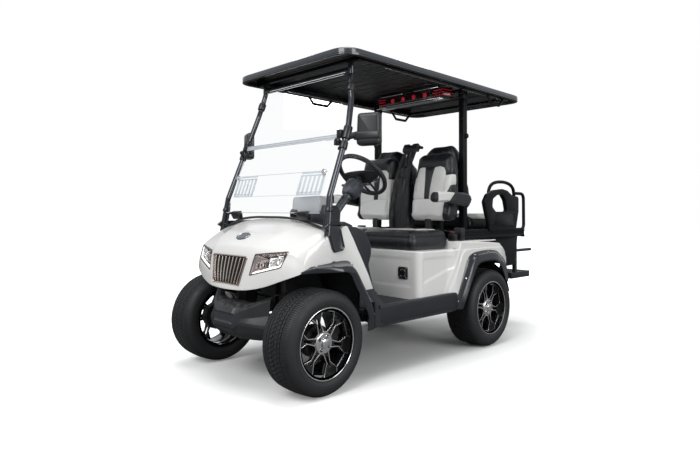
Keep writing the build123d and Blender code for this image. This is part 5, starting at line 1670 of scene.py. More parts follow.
class CART_OT_steering(bpy.types.Operator):
    """Steering wheel with its broad hub pad, column shroud, stalks, and the dash with the driver's hood"""
    bl_idname = "cart.steering"
    bl_label = "Steering and dash"

    def execute(self, context):
        self.add_wheel()
        self.add_column()
        self.add_dash()
        return {"FINISHED"}

    def add_wheel(self):
        wheel = Form()
        radius, steps = 172, 72
        ring = [on_wheel(radius * cos(2 * pi * i / steps), radius * sin(2 * pi * i / steps), 0) for i in range(steps)]
        wheel.tube(ring, 29, 33, sides=16, up=tuple(UP_COLUMN), closed=True)
        pad = smooth_line([(-160, 22, 0), (-120, 34, 0), (-60, 40, 0), (0, 42, 0), (60, 40, 0), (120, 34, 0),
                           (160, 22, 0), (158, -6, 0), (120, -22, 0), (78, -46, 0), (40, -66, 0), (0, -72, 0),
                           (-40, -66, 0), (-78, -46, 0), (-120, -22, 0), (-158, -6, 0), (-160, 22, 0)], 3)[:-1]
        rings = []
        for share, w in ((0.98, -22), (1.0, -14), (1.0, -4), (0.94, 2), (0.80, 5), (0.4, 7)):
            rings.append([on_wheel(u * share, v * share - 6 * (1 - share), w) for u, v, _ in pad])
        wheel.loft(rings)
        for sign in (1, -1):
            wheel.tube([on_wheel(sign * 30, -60, -10), on_wheel(sign * 34, -110, -8), on_wheel(sign * 26, -165, -2)],
                       20, 12, sides=12, up=tuple(UP_COLUMN))
        wheel.turned([(-26, 30), (-30, 24), (-30, 15)], tuple(HUB), tuple(UP_COLUMN), 28)
        piece = wheel.make("steering_wheel", "grip", "wheel_rubber", "steering_wheel_body", angle=50)
        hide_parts("steering_wheel")
        insert = Form()
        for sign in (1, -1):
            outline = [(sign * u, v) for u, v in ((52, -60), (96, -36), (128, -18), (140, -26), (110, -52), (70, -72))]
            insert.loft([[on_wheel(u, v, -8) for u, v in outline], [on_wheel(u, v, 3) for u, v in grown(outline, -2)]])
        insert.turned([(4, 24), (8.5, 23), (9.5, 18), (9.5, 0.5)], tuple(on_wheel(0, 0, 0)), tuple(UP_COLUMN), 32)
        insert.make("wheel_inserts", "machined", "wheel_rubber", "steering_wheel_body", bevel=1.5)

    def add_column(self):
        column = Form()
        foot = HUB - UP_COLUMN * 468
        neck = HUB - UP_COLUMN * 186
        column.tube([foot, neck], 46, 46, sides=28, up=(1, 0, 0))
        for side in (-1, 1):
            column.tube([foot + ACROSS * side * 15 + Vector((0, -15, 15)),
                         neck + ACROSS * side * 15 + Vector((0, -15, 15))], 9, 9, sides=8, up=(1, 0, 0))
        # columns: how far below the hub, half width, half height
        rings = []
        for below, wide, high in ((196, 34, 34), (186, 46, 42), (160, 58, 50), (110, 60, 52), (78, 54, 46),
                                  (64, 40, 36)):
            middle = HUB - UP_COLUMN * below
            ring = []
            for u, v in ((-1, -0.45), (-0.62, -1), (0.62, -1), (1, -0.45), (1, 0.5), (0.55, 1), (-0.55, 1), (-1, 0.5)):
                ring.append(middle + ACROSS * u * wide + UP_FACE * v * high)
            rings.append(ring)
        column.loft(rings)
        stalk = HUB - UP_COLUMN * 92
        for side in (-1, 1):
            column.tube([stalk + ACROSS * side * 40, stalk + ACROSS * side * 92], 16, 14, sides=12)
            column.tube([stalk + ACROSS * side * 88, stalk + ACROSS * side * 120], 26, 18, sides=12)
        column.tube([HUB - UP_COLUMN * 80, HUB - UP_COLUMN * 26], 30, 30, sides=20, up=(1, 0, 0))
        collar = HUB - UP_COLUMN * 205
        column.tube([collar - UP_COLUMN * 16, collar + UP_COLUMN * 14], 58, 58, sides=24, up=(1, 0, 0))
        piece = column.make("steering_column", "column", "black_moulding", bevel=3, angle=40)
        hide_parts("steering_column")

    def add_dash(self):
        piece = node_copy("dashboard", "dashboard", [FINISHES["charcoal"]])
        finish_piece(piece, "cart", "charcoal_moulding", bevel=6, angle=50, bevel_steps=3)
        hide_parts("dashboard")
        hood = Form()
        outline = [(176, 950), (138, 1010), (146, 1088), (160, 1102), (388, 1106), (404, 1094), (400, 1010), (384, 950)]
        hood.layers("y", [(y, grown(outline, inset)) for y, inset in ((136, -5), (140, 0), (226, 0), (258, -16))])
        hood.make("dash_hood", "grey_trim", "charcoal_moulding", bevel=7, angle=45, bevel_steps=3)
        pod = Form().prism([(128, 962), (124, 1010), (142, 1030), (170, 1030), (180, 962)], "x", 130, 196)
        pod.make("dash_pod", "gloss_black", "charcoal_moulding", bevel=5)


# ---------------------------------------------------------------- roof
ROOF_HALF, ROOF_FRONT, ROOF_REAR = 578, 182, 2258


def roof_ring(z, inset):
    """Rounded rectangle round the roof at a height, drawn in by the inset."""
    half, front, rear = ROOF_HALF - inset, ROOF_FRONT + inset, ROOF_REAR - inset
    return [(x, y, z) for x, y in rounded_outline(rectangle(-half, half, front, rear), 130 - inset * 0.45, 9)]


def row_array(form, count, step, name, finish):
    """Form repeated along the cart by a node tree, as a plain piece; the step is in mm."""
    tree, (number, pitch) = array_tree(name, [("Count", "Int"), ("Step", "Vector")])
    start, end = tree.nodes.new("NodeGroupInput"), tree.nodes.new("NodeGroupOutput")
    line = tree.nodes.new("GeometryNodeMeshLine")
    place = tree.nodes.new("GeometryNodeInstanceOnPoints")
    real = tree.nodes.new("GeometryNodeRealizeInstances")
    paint = tree.nodes.new("GeometryNodeSetMaterial")
    paint.inputs["Material"].default_value = FINISHES[finish]
    links = ((start.outputs["Count"], line.inputs["Count"]), (start.outputs["Step"], line.inputs["Offset"]),
             (line.outputs[0], place.inputs["Points"]), (start.outputs["Geometry"], place.inputs["Instance"]),
             (place.outputs[0], real.inputs[0]), (real.outputs[0], paint.inputs["Geometry"]),
             (paint.outputs[0], end.inputs[0]))
    return run_array(form.mesh(name, [FINISHES[finish]]), tree, links,
                     [(number, count), (pitch, tuple(c * MM for c in step))])


class CART_OT_roof(bpy.types.Operator):
    """Canopy with its folded rim, ribbed black ceiling darkened further as painted shade, rails, grab handles and light
    bar
    """
    bl_idname = "cart.roof"
    bl_label = "Roof"

    def execute(self, context):
        # columns: height, drawn in from the outline
        rows = ((2007, 170), (1977, 42), (1972, 30), (1946, 22), (1941, 17), (1940, 9), (1941.5, 2), (1945, 0),
                (1950, 0), (1951, 1.5), (1955, 1.5), (1956, 0), (1978, 0), (1984, 3), (1988, 10), (1990, 22),
                (1993, 48), (1999, 58), (2003, 90), (2018, 150), (2020, 170))
        form = Form().loft([roof_ring(z, inset) for z, inset in rows])
        piece = form.mesh("roof", [FINISHES["roof"], FINISHES["ceiling"]])
        # Downward faces under the canopy take the ceiling finish, the darker black that carries painted shade.
        for face in piece.data.polygons:
            below = face.center.z < 1.9455 and face.normal.z < 0.3
            face.material_index = int(face.normal.z < -0.3 or (below and abs(face.normal.z) < 0.9)
                                      and self.inside(face.center))
        finish_piece(piece, "cart", "roof_gloss", angle=28)
        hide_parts("roof")
        section = [(300, 2012), (304, 2004), (308, 2002.5), (324, 2002.5), (328, 2004), (332, 2012)]
        rib = Form().prism(section, "x", -396, 396)
        ribs = row_array(rib, 17, (0, 108, 0), "roof_ribs", "ceiling")
        finish_piece(ribs, "cart", "roof_gloss", bevel=1.5)
        self.add_rails()
        self.add_light_bar()
        return {"FINISHED"}

    def inside(self, centre):
        return abs(centre.x) < 0.560 and ROOF_FRONT + 14 < (centre.y - AXLE.y) / MM < ROOF_REAR - 14

    def add_rails(self):
        rails = Form().block(505, 536, 330, 2110, 1941, 1975).block(425, 536, 330, 372, 1932, 1958)
        rails.block(415, 536, 1540, 1600, 1940, 1960).mirror()
        for station in (351, 1570, 2095):
            rails.block(-505, 505, station - 15, station + 15, 1944, 1966)
        # columns: side, first station, last station
        for side, first, last in ((-1, 813, 1080), (-1, 1835, 2089), (1, 1808, 2043)):
            path = [(side * 515, first, 1945), (side * 515, first + 58, 1886), (side * 515, last - 58, 1886),
                    (side * 515, last, 1945)]
            rails.tube(rounded_path(path, 18), 24, 15, sides=14, up=(1, 0, 0))
        piece = rails.make("roof_rails", "rear_black", "frame_steel", bevel=2)
        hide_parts("roof_rails")
        strips = Form()
        for first, last in ((600, 1425), (1480, 1790), (1830, 1900), (1960, 2060)):
            strips.block(500, 504, first, last, 1938, 1946)
        strips.mirror()
        strips.make("rail_strips", "steel", "frame_steel", bevel=0.8)
        for number, station in enumerate((470, 610, 1040, 1400, 1700, 1990)):
            for side in (1, -1):
                add_screw_head("rail_screw_%d_%s" % (number, "left" if side > 0 else "right"),
                               (side * 548, station, 1971), (0, 0, -1), 7, "cart")

    def add_light_bar(self):
        plan = [(-330, 1462), (-240, 1450), (240, 1450), (330, 1462), (374, 1538), (-374, 1538)]
        bar = Form()
        bar.loft([[(x * share, 1500 + (y - 1500) * share, z) for x, y in plan]
                  for z, share in ((1894, 0.94), (1898, 0.985), (1906, 1), (1976, 1), (1986, 0.97))])
        bar.block(-270, -230, 1500, 1545, 1930, 1976).block(230, 270, 1500, 1545, 1930, 1976)
        piece = bar.make("sound_bar", "gloss_black", "black_moulding", bevel=2.5)
        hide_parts("sound_bar")
        face = Form()
        face.loft([[(-246, 1448.6, z), (246, 1448.6, z), (246, 1452, z), (-246, 1452, z)] for z in (1912, 1974)])
        face.make("bar_face", "red_screen", "black_moulding", bevel=1)
        lights = Form()
        for x in (-168, -56, 56, 168):
            lights.turned([(0, 19), (3, 18), (4, 15), (2.5, 12), (4.5, 7), (5, 0.5)], (x, 1449, 1943), (0, -1, 0), 32)
        for z in (1966, 1945, 1924):
            for side in (1, -1):
                line = [(side * 252, 1449, z - 3), (side * 330, 1459, z + 2), (side * 338, 1468, z + 2),
                        (side * 371, 1530, z - 6)]
                lights.tube(line, 4, 6, sides=8)
        lights.make("bar_lights", "lamp_red", "lamp_clear")
        trim = Form()
        trim.block(-322, 322, 1446, 1456, 1900, 1906)
        for side in (1, -1):
            trim.block(side * 250, side * 345, 1440, 1470, 1888, 1899)
            trim.block(side * 60, side * 300, 1444, 1454, 1985, 1991)
        trim.make("bar_trim", "machined", "lamp_clear", bevel=3)


# ---------------------------------------------------------------- rear deck
class CART_OT_rear(bpy.types.Operator):
    """Rear deck: rails, hoops, moulded armrests, uprights, valance, footplate and roof posts"""
    bl_idname = "cart.rear"
    bl_label = "Rear deck"

    def execute(self, context):
        self.add_deck()
        self.add_armrests()
        self.add_footplate()
        self.add_posts()
        self.add_liners()
        return {"FINISHED"}

    def add_deck(self):
        form = Form()
        section = ((470, 808), (498, 808), (500, 811), (500, 820), (496, 824), (496, 846), (500, 850), (500, 876),
                   (497, 880), (474, 880), (470, 876))
        rings = []
        for y, out, low in ((1447, -2, 0), (1452, 0, 0), (1862, 0, 0), (1880, 6, 0), (2340, 6, 0), (2380, 10, -2),
                            (2401, 16, -6), (2404, 14, -4)):
            rings.append([(x + out, y, z + (low if z < 815 else -low * 0.5 if z > 870 else 0)) for x, z in section])
        form.loft(rings)
        form.block(196, 214, 2368, 2390, 856, 884).block(306, 324, 2368, 2390, 856, 884)
        form.tube([(190, 2378, 874), (330, 2378, 874)], 14, 14, sides=16)
        hoop_x, loop_x = 440, 485
        hoop = [(hoop_x, y, z) for y, z in ((1926, 856), (1940, 1130), (1962, 1218), (2044, 1260), (2200, 1268),
                                            (2318, 1236), (2357, 1150), (2362, 856))]
        form.tube(smooth_line(hoop, 6), 28, 28, sides=18, up=(1, 0, 0))
        loop = [(loop_x, y, z) for y, z in ((2270, 1176), (2440, 1176), (2442, 885), (2382, 850))]
        form.tube(rounded_path(loop, 55, 8), 27, 27, sides=16, up=(1, 0, 0))
        form.mirror()
        form.block(-470, 470, 1640, 2403, 852, 860).block(-470, 470, 1640, 1674, 808, 858)
        form.block(-470, 470, 2369, 2400, 808, 858).block(-450, 450, 1644, 1670, 800, 812)
        piece = form.make("deck_frame", "rear_black", "frame_steel", bevel=1.5)
        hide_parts("deck_frame")

    def add_armrests(self):
        outer = rounded_outline([(1842, 862), (1838, 895), (1780, 1044), (1762, 1098), (1809, 1157), (1913, 1192),
                                 (2044, 1205), (2118, 1195), (2206, 1152), (2303, 1149), (2302, 1022), (2262, 888),
                                 (2258, 862)], 30, 5)
        loop = rounded_outline([(1877, 1057), (1888, 1122), (1955, 1153), (2032, 1158), (2082, 1112), (2108, 1030),
                                (2085, 1018), (1930, 1018)], 26, 5)
        form = Form()
        form.layers("x", [(x, grown(outer, -inset))
                          for x, inset in ((482, 6), (486, 1.5), (490, 0), (510, 0), (515, 2), (518, 7))])
        arm = form.mesh("rear_armrest", [FINISHES["black"]])
        hole = Form().prism(loop, "x", 440, 540).mesh("cutter", [FINISHES["black"]])
        cut(arm, hole)
        twin = Form()
        panel = rounded_outline([(1950, 1004), (2190, 1004), (2217, 890), (1846, 908)], 12, 2)
        twin.layers("x", [(x, grown(panel, inset)) for x, inset in ((510, 0), (520, -1), (524, -9))])
        work = [(v.co.x / MM, (v.co.y - AXLE.y) / MM, v.co.z / MM) for v in arm.data.vertices]
        twin.add(work, [tuple(p.vertices) for p in arm.data.polygons])
        bpy.data.objects.remove(arm, do_unlink=True)
        twin.mirror()
        piece = twin.make("rear_armrests", "rear_black", "black_moulding", bevel=3, angle=40, bevel_steps=3)
        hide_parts("rear_armrests")

    def add_footplate(self):
        piece = node_copy("footplate", "footplate", [FINISHES["charcoal"]])
        finish_piece(piece, "cart", "black_moulding", bevel=4, angle=40)
        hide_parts("footplate")
        rib = Form().loft([[(x, 2318, 492), (x, 2322, 494.5), (x, 2328, 494.5), (x, 2332, 492)] for x in (-410, 410)])
        grips = row_array(rib, 14, (0, 20.5, 0), "footplate_grips", "charcoal")
        finish_piece(grips, "cart", "black_moulding", bevel=0.6)
        valance = node_copy("rear_valance", "rear_valance", [FINISHES["perforated"]])
        finish_piece(valance, "cart", "black_moulding", bevel=3, angle=40)
        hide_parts("rear_valance")

    def add_posts(self):
        form = Form()
        outline = rounded_outline(rectangle(420, 470, 1545, 1595), 9, 4)
        form.prism(outline, "z", 806, 1940)
        form.prism(rounded_outline(rectangle(420, 470, 1500, 1640), 8, 3), "z", 800, 808)
        form.prism(grown(outline, 4), "z", 1890, 1939)
        form.turned([(-6, 16), (-4, 19), (12, 19), (16, 14), (16, 6)], (470, 1574, 1600), (1, 0, 0), 24)
        form.mirror()
        piece = form.make("rear_pillars", "rear_black", "frame_steel", bevel=1, angle=40)
        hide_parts("rear_pillars")

    def add_liners(self):
        """Black inner arches over the rear wheels."""
        lip = smooth_line([(y, z - 8, 0) for _, _, (_, y, z) in REAR_FLARE[1:]] + [(1990, 380, 0)], 3)
        form = Form()
        rings = []
        hub, arch_radius = (WHEELBASE, 292), 330
        for y, z, _ in lip:
            away = Vector((y - hub[0], z - hub[1]))
            way = away.normalized()
            spot = Vector(hub) + way * max(away.length, arch_radius)
            rings.append([(600, spot.x, spot.y), (600, spot.x + way.x * 3, spot.y + way.y * 3),
                          (345, spot.x + way.x * 3, spot.y + way.y * 3), (345, spot.x, spot.y)])
        form.loft(rings)
        form.prism([(p[1], p[2]) for p in (ring[2] for ring in rings) if p[2] > 430], "x", 343, 347)
        form.mirror()
        form.make("wheel_liners", "pit", "black_moulding")


# ---------------------------------------------------------------- upholstery
DECK_FOOT = 801              # where brackets and buckles stand on the box's top
NO_PANEL = -30.0             # panel distance in mm where the cover is black
NO_SEAM = 60.0               # seam distance in mm where no seam is near


def line_distance(u, v, line):
    """Distance in mm from each point to an open line of (u, v) points."""
    best = np.full(len(u), 1e6)
    for (a, b), (c, d) in zip(line, line[1:]):
        run, rise = c - a, d - b
        share = np.clip(((u - a) * run + (v - b) * rise) / (run * run + rise * rise + 1e-9), 0, 1)
        best = np.minimum(best, np.hypot(u - a - share * run, v - b - share * rise))
    return best


def outline_distance(u, v, outline):
    """Distance in mm to a closed outline, above 0 inside it."""
    inside = np.zeros(len(u), bool)
    loop = list(outline) + [outline[0]]
    for (a, b), (c, d) in zip(loop, loop[1:]):
        if b != d:
            inside ^= ((b > v) != (d > v)) & (u < (c - a) * (v - b) / (d - b) + a)
    gap = line_distance(u, v, loop)
    return np.where(inside, gap, -gap)


def point_arrays(piece):
    """Points in mm, y counted aft from the front axle, and their normals."""
    count = len(piece.data.vertices)
    places, normals = np.empty(count * 3), np.empty(count * 3)
    piece.data.vertices.foreach_get("co", places)
    piece.data.vertices.foreach_get("normal", normals)
    places = places.reshape(-1, 3) / MM
    places[:, 1] -= AXLE.y / MM
    return places, normals.reshape(-1, 3)


def set_points(piece, places):
    """Writes points in mm back to a piece."""
    moved = places.copy()
    moved[:, 1] += AXLE.y / MM
    piece.data.vertices.foreach_set("co", (moved * MM).ravel())
    piece.data.update()


class Upholstery:
    """Makes one padded cover: remeshed, blown up by a cloth simulation, smoothed, then sewn."""

    def __init__(self, form, name, voxel, cap, steps=20, pressure=4.0):
        self.piece = form.mesh(name, [FINISHES["leather"]])
        remesh = self.piece.modifiers.new("Remesh", "REMESH")
        remesh.mode = "VOXEL"
        remesh.voxel_size = voxel * MM
        apply_modifiers(self.piece)
        self.piece.data.materials.clear()
        self.piece.data.materials.append(FINISHES["leather"])
        self.blow_up(cap, steps, pressure)
        smoothing = self.piece.modifiers.new("Smooth", "SMOOTH")
        smoothing.factor, smoothing.iterations = 0.5, 4
        subdivide = self.piece.modifiers.new("Subdivide", "SUBSURF")
        subdivide.levels = subdivide.render_levels = 1
        apply_modifiers(self.piece)

    def blow_up(self, cap, steps, pressure):
        """Pressure from within, each point held to the cap."""
        scene = bpy.context.scene
        before = point_arrays(self.piece)[0]
        cloth = self.piece.modifiers.new("Cloth", "CLOTH")
        cloth.settings.quality = 4
        cloth.settings.use_pressure = True
        cloth.settings.uniform_pressure_force = pressure
        cloth.settings.effector_weights.gravity = 0
        cloth.point_cache.frame_start, cloth.point_cache.frame_end = 1, steps
        for step in range(1, steps + 1):
            scene.frame_set(step)
        apply_modifiers(self.piece)
        scene.frame_set(1)
        after = point_arrays(self.piece)[0]
        move = after - before
        reach = np.linalg.norm(move, axis=1, keepdims=True)
        set_points(self.piece, before + move * np.minimum(1, cap / np.maximum(reach, 1e-6)))

    def hold(self, *limits):
        """Keeps the points on one side of flat neighbours; each limit is (axis number, lowest, highest)."""
        places = point_arrays(self.piece)[0]
        for axis, low, high in limits:
            places[:, axis] = np.clip(places[:, axis], low, high)
        set_points(self.piece, places)

    def sew(self, marks, depth=3.2, width=5.0, puff=4.0):
        """Writes panel and seam distances, and draws the cover in along the seams."""
        places, normals = point_arrays(self.piece)
        panel, seam = marks(places, normals)
        for name, values in (("panel", panel), ("seam", seam)):
            made = self.piece.data.attributes.new(name, "FLOAT", "POINT")
            made.data.foreach_set("value", values.astype(np.float32))
        lift = puff * (1 - np.exp(-(seam / 26) ** 2)) - depth * np.exp(-(seam / width) ** 2) - puff * 0.6
        set_points(self.piece, places + normals * lift[:, None])
        return self

    def finish(self, body, fill, slot="seat_leather"):
        self.piece.data.polygons.foreach_set("use_smooth", [True] * len(self.piece.data.polygons))
        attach(self.piece, body)
        return self.piece

    def other_side(self, name, body):
        """The same cover on the other side of the cart."""
        twin = self.piece.copy()
        twin.data = self.piece.data.copy()
        twin.name = name
        bpy.context.scene.collection.objects.link(twin)
        twin.data.transform(Matrix.Scale(-1, 4, (1, 0, 0)))
        twin.data.flip_normals()
        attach(twin, body)
        return twin


def stacked(rows, radius):
    """Closed form from flat rounded rectangles: rows of (z, x low, x high, y low, y high, inset)."""
    layers = []
    for z, x0, x1, y0, y1, inset in rows:
        corners = rectangle(x0 + inset, x1 - inset, y0 + inset, y1 - inset)
        layers.append((z, rounded_outline(corners, max(radius - inset * 0.5, 6), 5)))
    return Form().layers("z", layers)


# Light insert of a front back, its seams, and the black stripe in it, as (x, z) in mm.
BACK_LIGHT = (
    (128, 936), (112, 962), (108, 1040), (108, 1130), (114, 1220), (120, 1280), (148, 1284), (153, 1330), (170, 1352),
    (198, 1360), (232, 1358), (238, 1240), (240, 1114), (287, 1113), (292, 1200), (304, 1290), (324, 1356),
    (370, 1362), (408, 1350), (424, 1322), (428, 1290), (498, 1304), (480, 1232), (452, 1168), (434, 1080),
    (428, 1000), (412, 936), (270, 932))
BACK_SEAMS = ([(112, 1113), (240, 1114), (287, 1113), (432, 1084)],
              [(132, 940), (130, 1030), (134, 1130), (141, 1220), (148, 1284)],
              [(404, 940), (420, 1040), (421, 1090), (415, 1190), (428, 1290)],
              [(232, 1358), (324, 1356)],
              [(98, 1268), (120, 1280)], [(424, 1290), (520, 1302)])


class CART_OT_seats(bpy.types.Operator):
    """Front bench, its two backs with pale inserts, the padded hump between them and the swinging armrests"""
    bl_idname = "cart.seats"
    bl_label = "Front seats"

    def execute(self, context):
        self.add_bench()
        self.add_backs()
        self.add_hump()
        self.add_armrests()
        self.add_belts()
        return {"FINISHED"}

    def add_bench(self):
        rows = [(752, -516, 516, 884, 1312, 10), (760, -518, 518, 882, 1314, 2), (800, -518, 518, 882, 1314, 0),
                (838, -518, 518, 882, 1314, 1), (856, -516, 516, 886, 1312, 8), (867, -514, 514, 894, 1312, 24),
                (873, -514, 514, 898, 1312, 60)]
        bench = Upholstery(stacked(rows, 46), "front_cushion", 12, 20)
        bench.hold((2, 748.6, 885), (1, 876, 1318), (0, -526, 526))

        def marks(places, normals):
            x, y, z = np.abs(places[:, 0]), places[:, 1], places[:, 2]
            up = normals[:, 2] > 0.4
            light = outline_distance(x, y, [(92, 1004), (130, 990), (402, 990), (436, 1004), (428, 1300), (100, 1300)])
            panel = np.where(up, light, NO_PANEL)
            middle = line_distance(x, y, [(250, 990), (250, 1300)])
            seam = np.where(up, np.minimum(np.abs(light), middle), NO_SEAM)
            seam = np.minimum(seam, np.where(up, np.minimum(x, NO_SEAM), NO_SEAM))
            side = np.abs(normals[:, 2]) < 0.75
            seam = np.minimum(seam, np.where(side, np.abs(z - 838), NO_SEAM))
            front = normals[:, 1] < -0.5
            return panel, np.minimum(seam, np.where(front, np.minimum(x, NO_SEAM), NO_SEAM))
        bench.sew(marks, puff=6)
        bench.hold((2, 748.6, 888))
        piece = bench.finish("cart", 0.85)
        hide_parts("front_cushion")

    def add_backs(self):
        # columns: z, x low, x high, y of the front, y of the rear, inset
        rows = ((929, 128, 462, 1338, 1444, 22), (936, 114, 474, 1336, 1456, 8), (970, 104, 486, 1338, 1464, 0),
                (1060, 100, 490, 1350, 1470, 0), (1150, 100, 491, 1361, 1474, 0), (1260, 104, 490, 1376, 1477, 0),
                (1330, 111, 484, 1385, 1478, 0), (1390, 118, 476, 1394, 1477, 2), (1444, 124, 471, 1403, 1475, 3),
                (1468, 142, 453, 1411, 1473, 7), (1479, 162, 433, 1418, 1466, 14))
        back = Upholstery(stacked(rows, 27), "front_back_left", 9.5, 17)

        def marks(places, normals):
            x, y, z = places[:, 0], places[:, 1], places[:, 2]
            front = normals[:, 1] < 0.05
            light = outline_distance(x, z, BACK_LIGHT)
            panel = np.where(front, light, NO_PANEL)
            seam = np.abs(light)
            for line in BACK_SEAMS:
                seam = np.minimum(seam, line_distance(x, z, line))
            seam = np.where(front, seam, NO_SEAM)
            rim = np.abs(y - (1446 + (z - 1180) * 0.06))
            return panel, np.minimum(seam, np.where(np.abs(normals[:, 1]) < 0.8, rim, NO_SEAM))
        back.sew(marks, puff=5)
        places, normals = point_arrays(back.piece)
        wings = np.clip((np.abs(places[:, 0] - 290) - 110) / 70, 0, 1) * np.clip((1320 - places[:, 2]) / 120, 0, 1)
        places[:, 1] -= np.where(normals[:, 1] < -0.2, 12 * wings, 0)
        set_points(back.piece, places)
        back.hold((1, 1322, 1484))
        left = back.finish("cart", 0.8)
        right = back.other_side("front_back_right", "cart")
        brackets = Form().block(250, 300, 1344, 1376, DECK_FOOT, 960)
        brackets.block(236, 314, 1336, 1384, DECK_FOOT, 808)
        brackets.tube([(478, 1440, 1104), (569, 1440, 1104)], 17, 17, sides=18)
        brackets.mirror()
        held = brackets.make("back_brackets", "chassis", "black_moulding", bevel=2)
        for piece in (left, right, held):
            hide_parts("front_seatbacks")

    def add_hump(self):
        rows = [(806, -82, 82, 1326, 1456, 8), (830, -86, 86, 1324, 1460, 0), (950, -86, 86, 1324, 1462, 0),
                (1050, -85, 85, 1334, 1464, 0), (1150, -80, 80, 1350, 1466, 0), (1230, -68, 68, 1366, 1468, 0),
                (1292, -58, 58, 1380, 1468, 0), (1320, -56, 56, 1386, 1468, 0), (1372, -54, 54, 1394, 1468, 4),
                (1388, -50, 50, 1400, 1464, 16)]
        hump = Upholstery(stacked(rows, 34), "seat_hump", 9, 10)
        hump.hold((0, -92, 92), (1, 1321.5, 1472), (2, DECK_FOOT, 1398))

        def marks(places, normals):
            z = places[:, 2]
            seam = np.abs(z - 1292 - np.abs(places[:, 0]) * 0.12)
            rim = np.abs(places[:, 1] - (1400 + (z - 1000) * 0.1))
            seam = np.minimum(seam, np.where(np.abs(normals[:, 1]) < 0.8, rim, NO_SEAM))
            return np.full(len(z), NO_PANEL), seam
        hump.sew(marks, depth=4.5, puff=2)
        piece = hump.finish("cart", 0.9)
        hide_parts("seat_divider")
        tower = Form()
        # columns: z, half width, y of the front, y of the rear
        sections = ((1380, 30, 1412, 1458), (1392, 24, 1414, 1458), (1440, 19, 1430, 1470), (1496, 18, 1452, 1484),
                    (1512, 60, 1458, 1502), (1530, 76, 1460, 1530), (1550, 72, 1468, 1545), (1560, 52, 1478, 1535))
        tower.layers("z", [(z, rounded_outline(rectangle(-wide, wide, front, rear), 12))
                           for z, wide, front, rear in sections])
        for side in (-1, 1):
            tower.turned([(-24, 18), (-21, 23), (21, 23), (24, 18)], (side * 46, 1492, 1548), (1, 0, 0), 24)
            tower.block(side * 46 - 27, side * 46 + 27, 1462, 1500, 1502, 1524)
            tower.turned([(-8, 9), (-6, 12), (6, 12), (8, 9)], (side * 84, 1520, 1536), (1, 0, 0), 18)
        made = tower.make("belt_tower", "black", "black_moulding", bevel=4)
        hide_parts("seat_divider")

    def add_armrests(self):
        side = [(1062, 1094), (1068, 1140), (1090, 1160), (1200, 1162), (1440, 1160), (1500, 1146), (1522, 1110),
                (1500, 1068), (1440, 1056), (1300, 1066), (1200, 1080), (1090, 1080)]
        form = Form()
        form.layers("x", [(x, grown(rounded_outline(side, 16, 4), -inset))
                          for x, inset in ((506, 10), (509, 3), (514, 0), (555, 0), (560, 3), (563, 10))])
        rest = Upholstery(form, "armrest_left", 6, 5)
        rest.hold((0, 503.2, 566))

        def marks(places, normals):
            y, z = places[:, 1], places[:, 2]
            joint = (y - 1255) - (z - 1116) * 1.1
            pale = np.minimum(y - 1096, -joint)
            seam = np.minimum(np.abs(joint), np.abs(y - 1096))
            rim = np.abs(np.abs(places[:, 0] - 534.5) - 24)
            return pale, np.minimum(seam, np.where(np.abs(normals[:, 0]) < 0.9, rim, NO_SEAM))
        rest.sew(marks, depth=2.4, puff=2)
        left = rest.finish("armrest_left_body", 0.9)
        right = rest.other_side("armrest_right", "armrest_right_body")
        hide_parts("armrest_left")
        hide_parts("armrest_right")

    def add_belts(self):
        form = Form()
        line = [(46, 1496, 1546), (46, 1484, 1536), (46, 1478, 1510), (50, 1412, 1400), (57, 1366, 1256),
                (62, 1330, 1108), (64, 1313, 1000), (64, 1312, 900), (64, 1314, 874)]
        for side in (-1, 1):
            rings = []
            for x, y, z in line:
                rings.append([(side * x + u, y - 2.5 + w, z) for u, w in ((-21, 0), (21, 0), (21, 1.8), (-21, 1.8))])
            form.loft(rings)
        belts = form.make("front_belts", "webbing", "belt_webbing", bevel=0.5)
        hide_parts("front_belts")
        buckles = Form()
        for x in (-505, 505):
            side = 1 if x > 0 else -1
            buckles.block(x - 28, x + 30, 1326, 1364, 802, 852).block(x - 17, x + 17, 1330, 1358, 850, 866)
            buckles.block(side * 476, side * 540, 1404, 1452, DECK_FOOT, 896)
        buckles.make("buckles", "black", "belt_webbing", bevel=4)
        button = Form()
        for x in (-505, 505):
            button.block(x - 12, x + 12, 1334, 1354, 864, 870)
        button.make("buckle_buttons", "red", "belt_webbing", bevel=2)


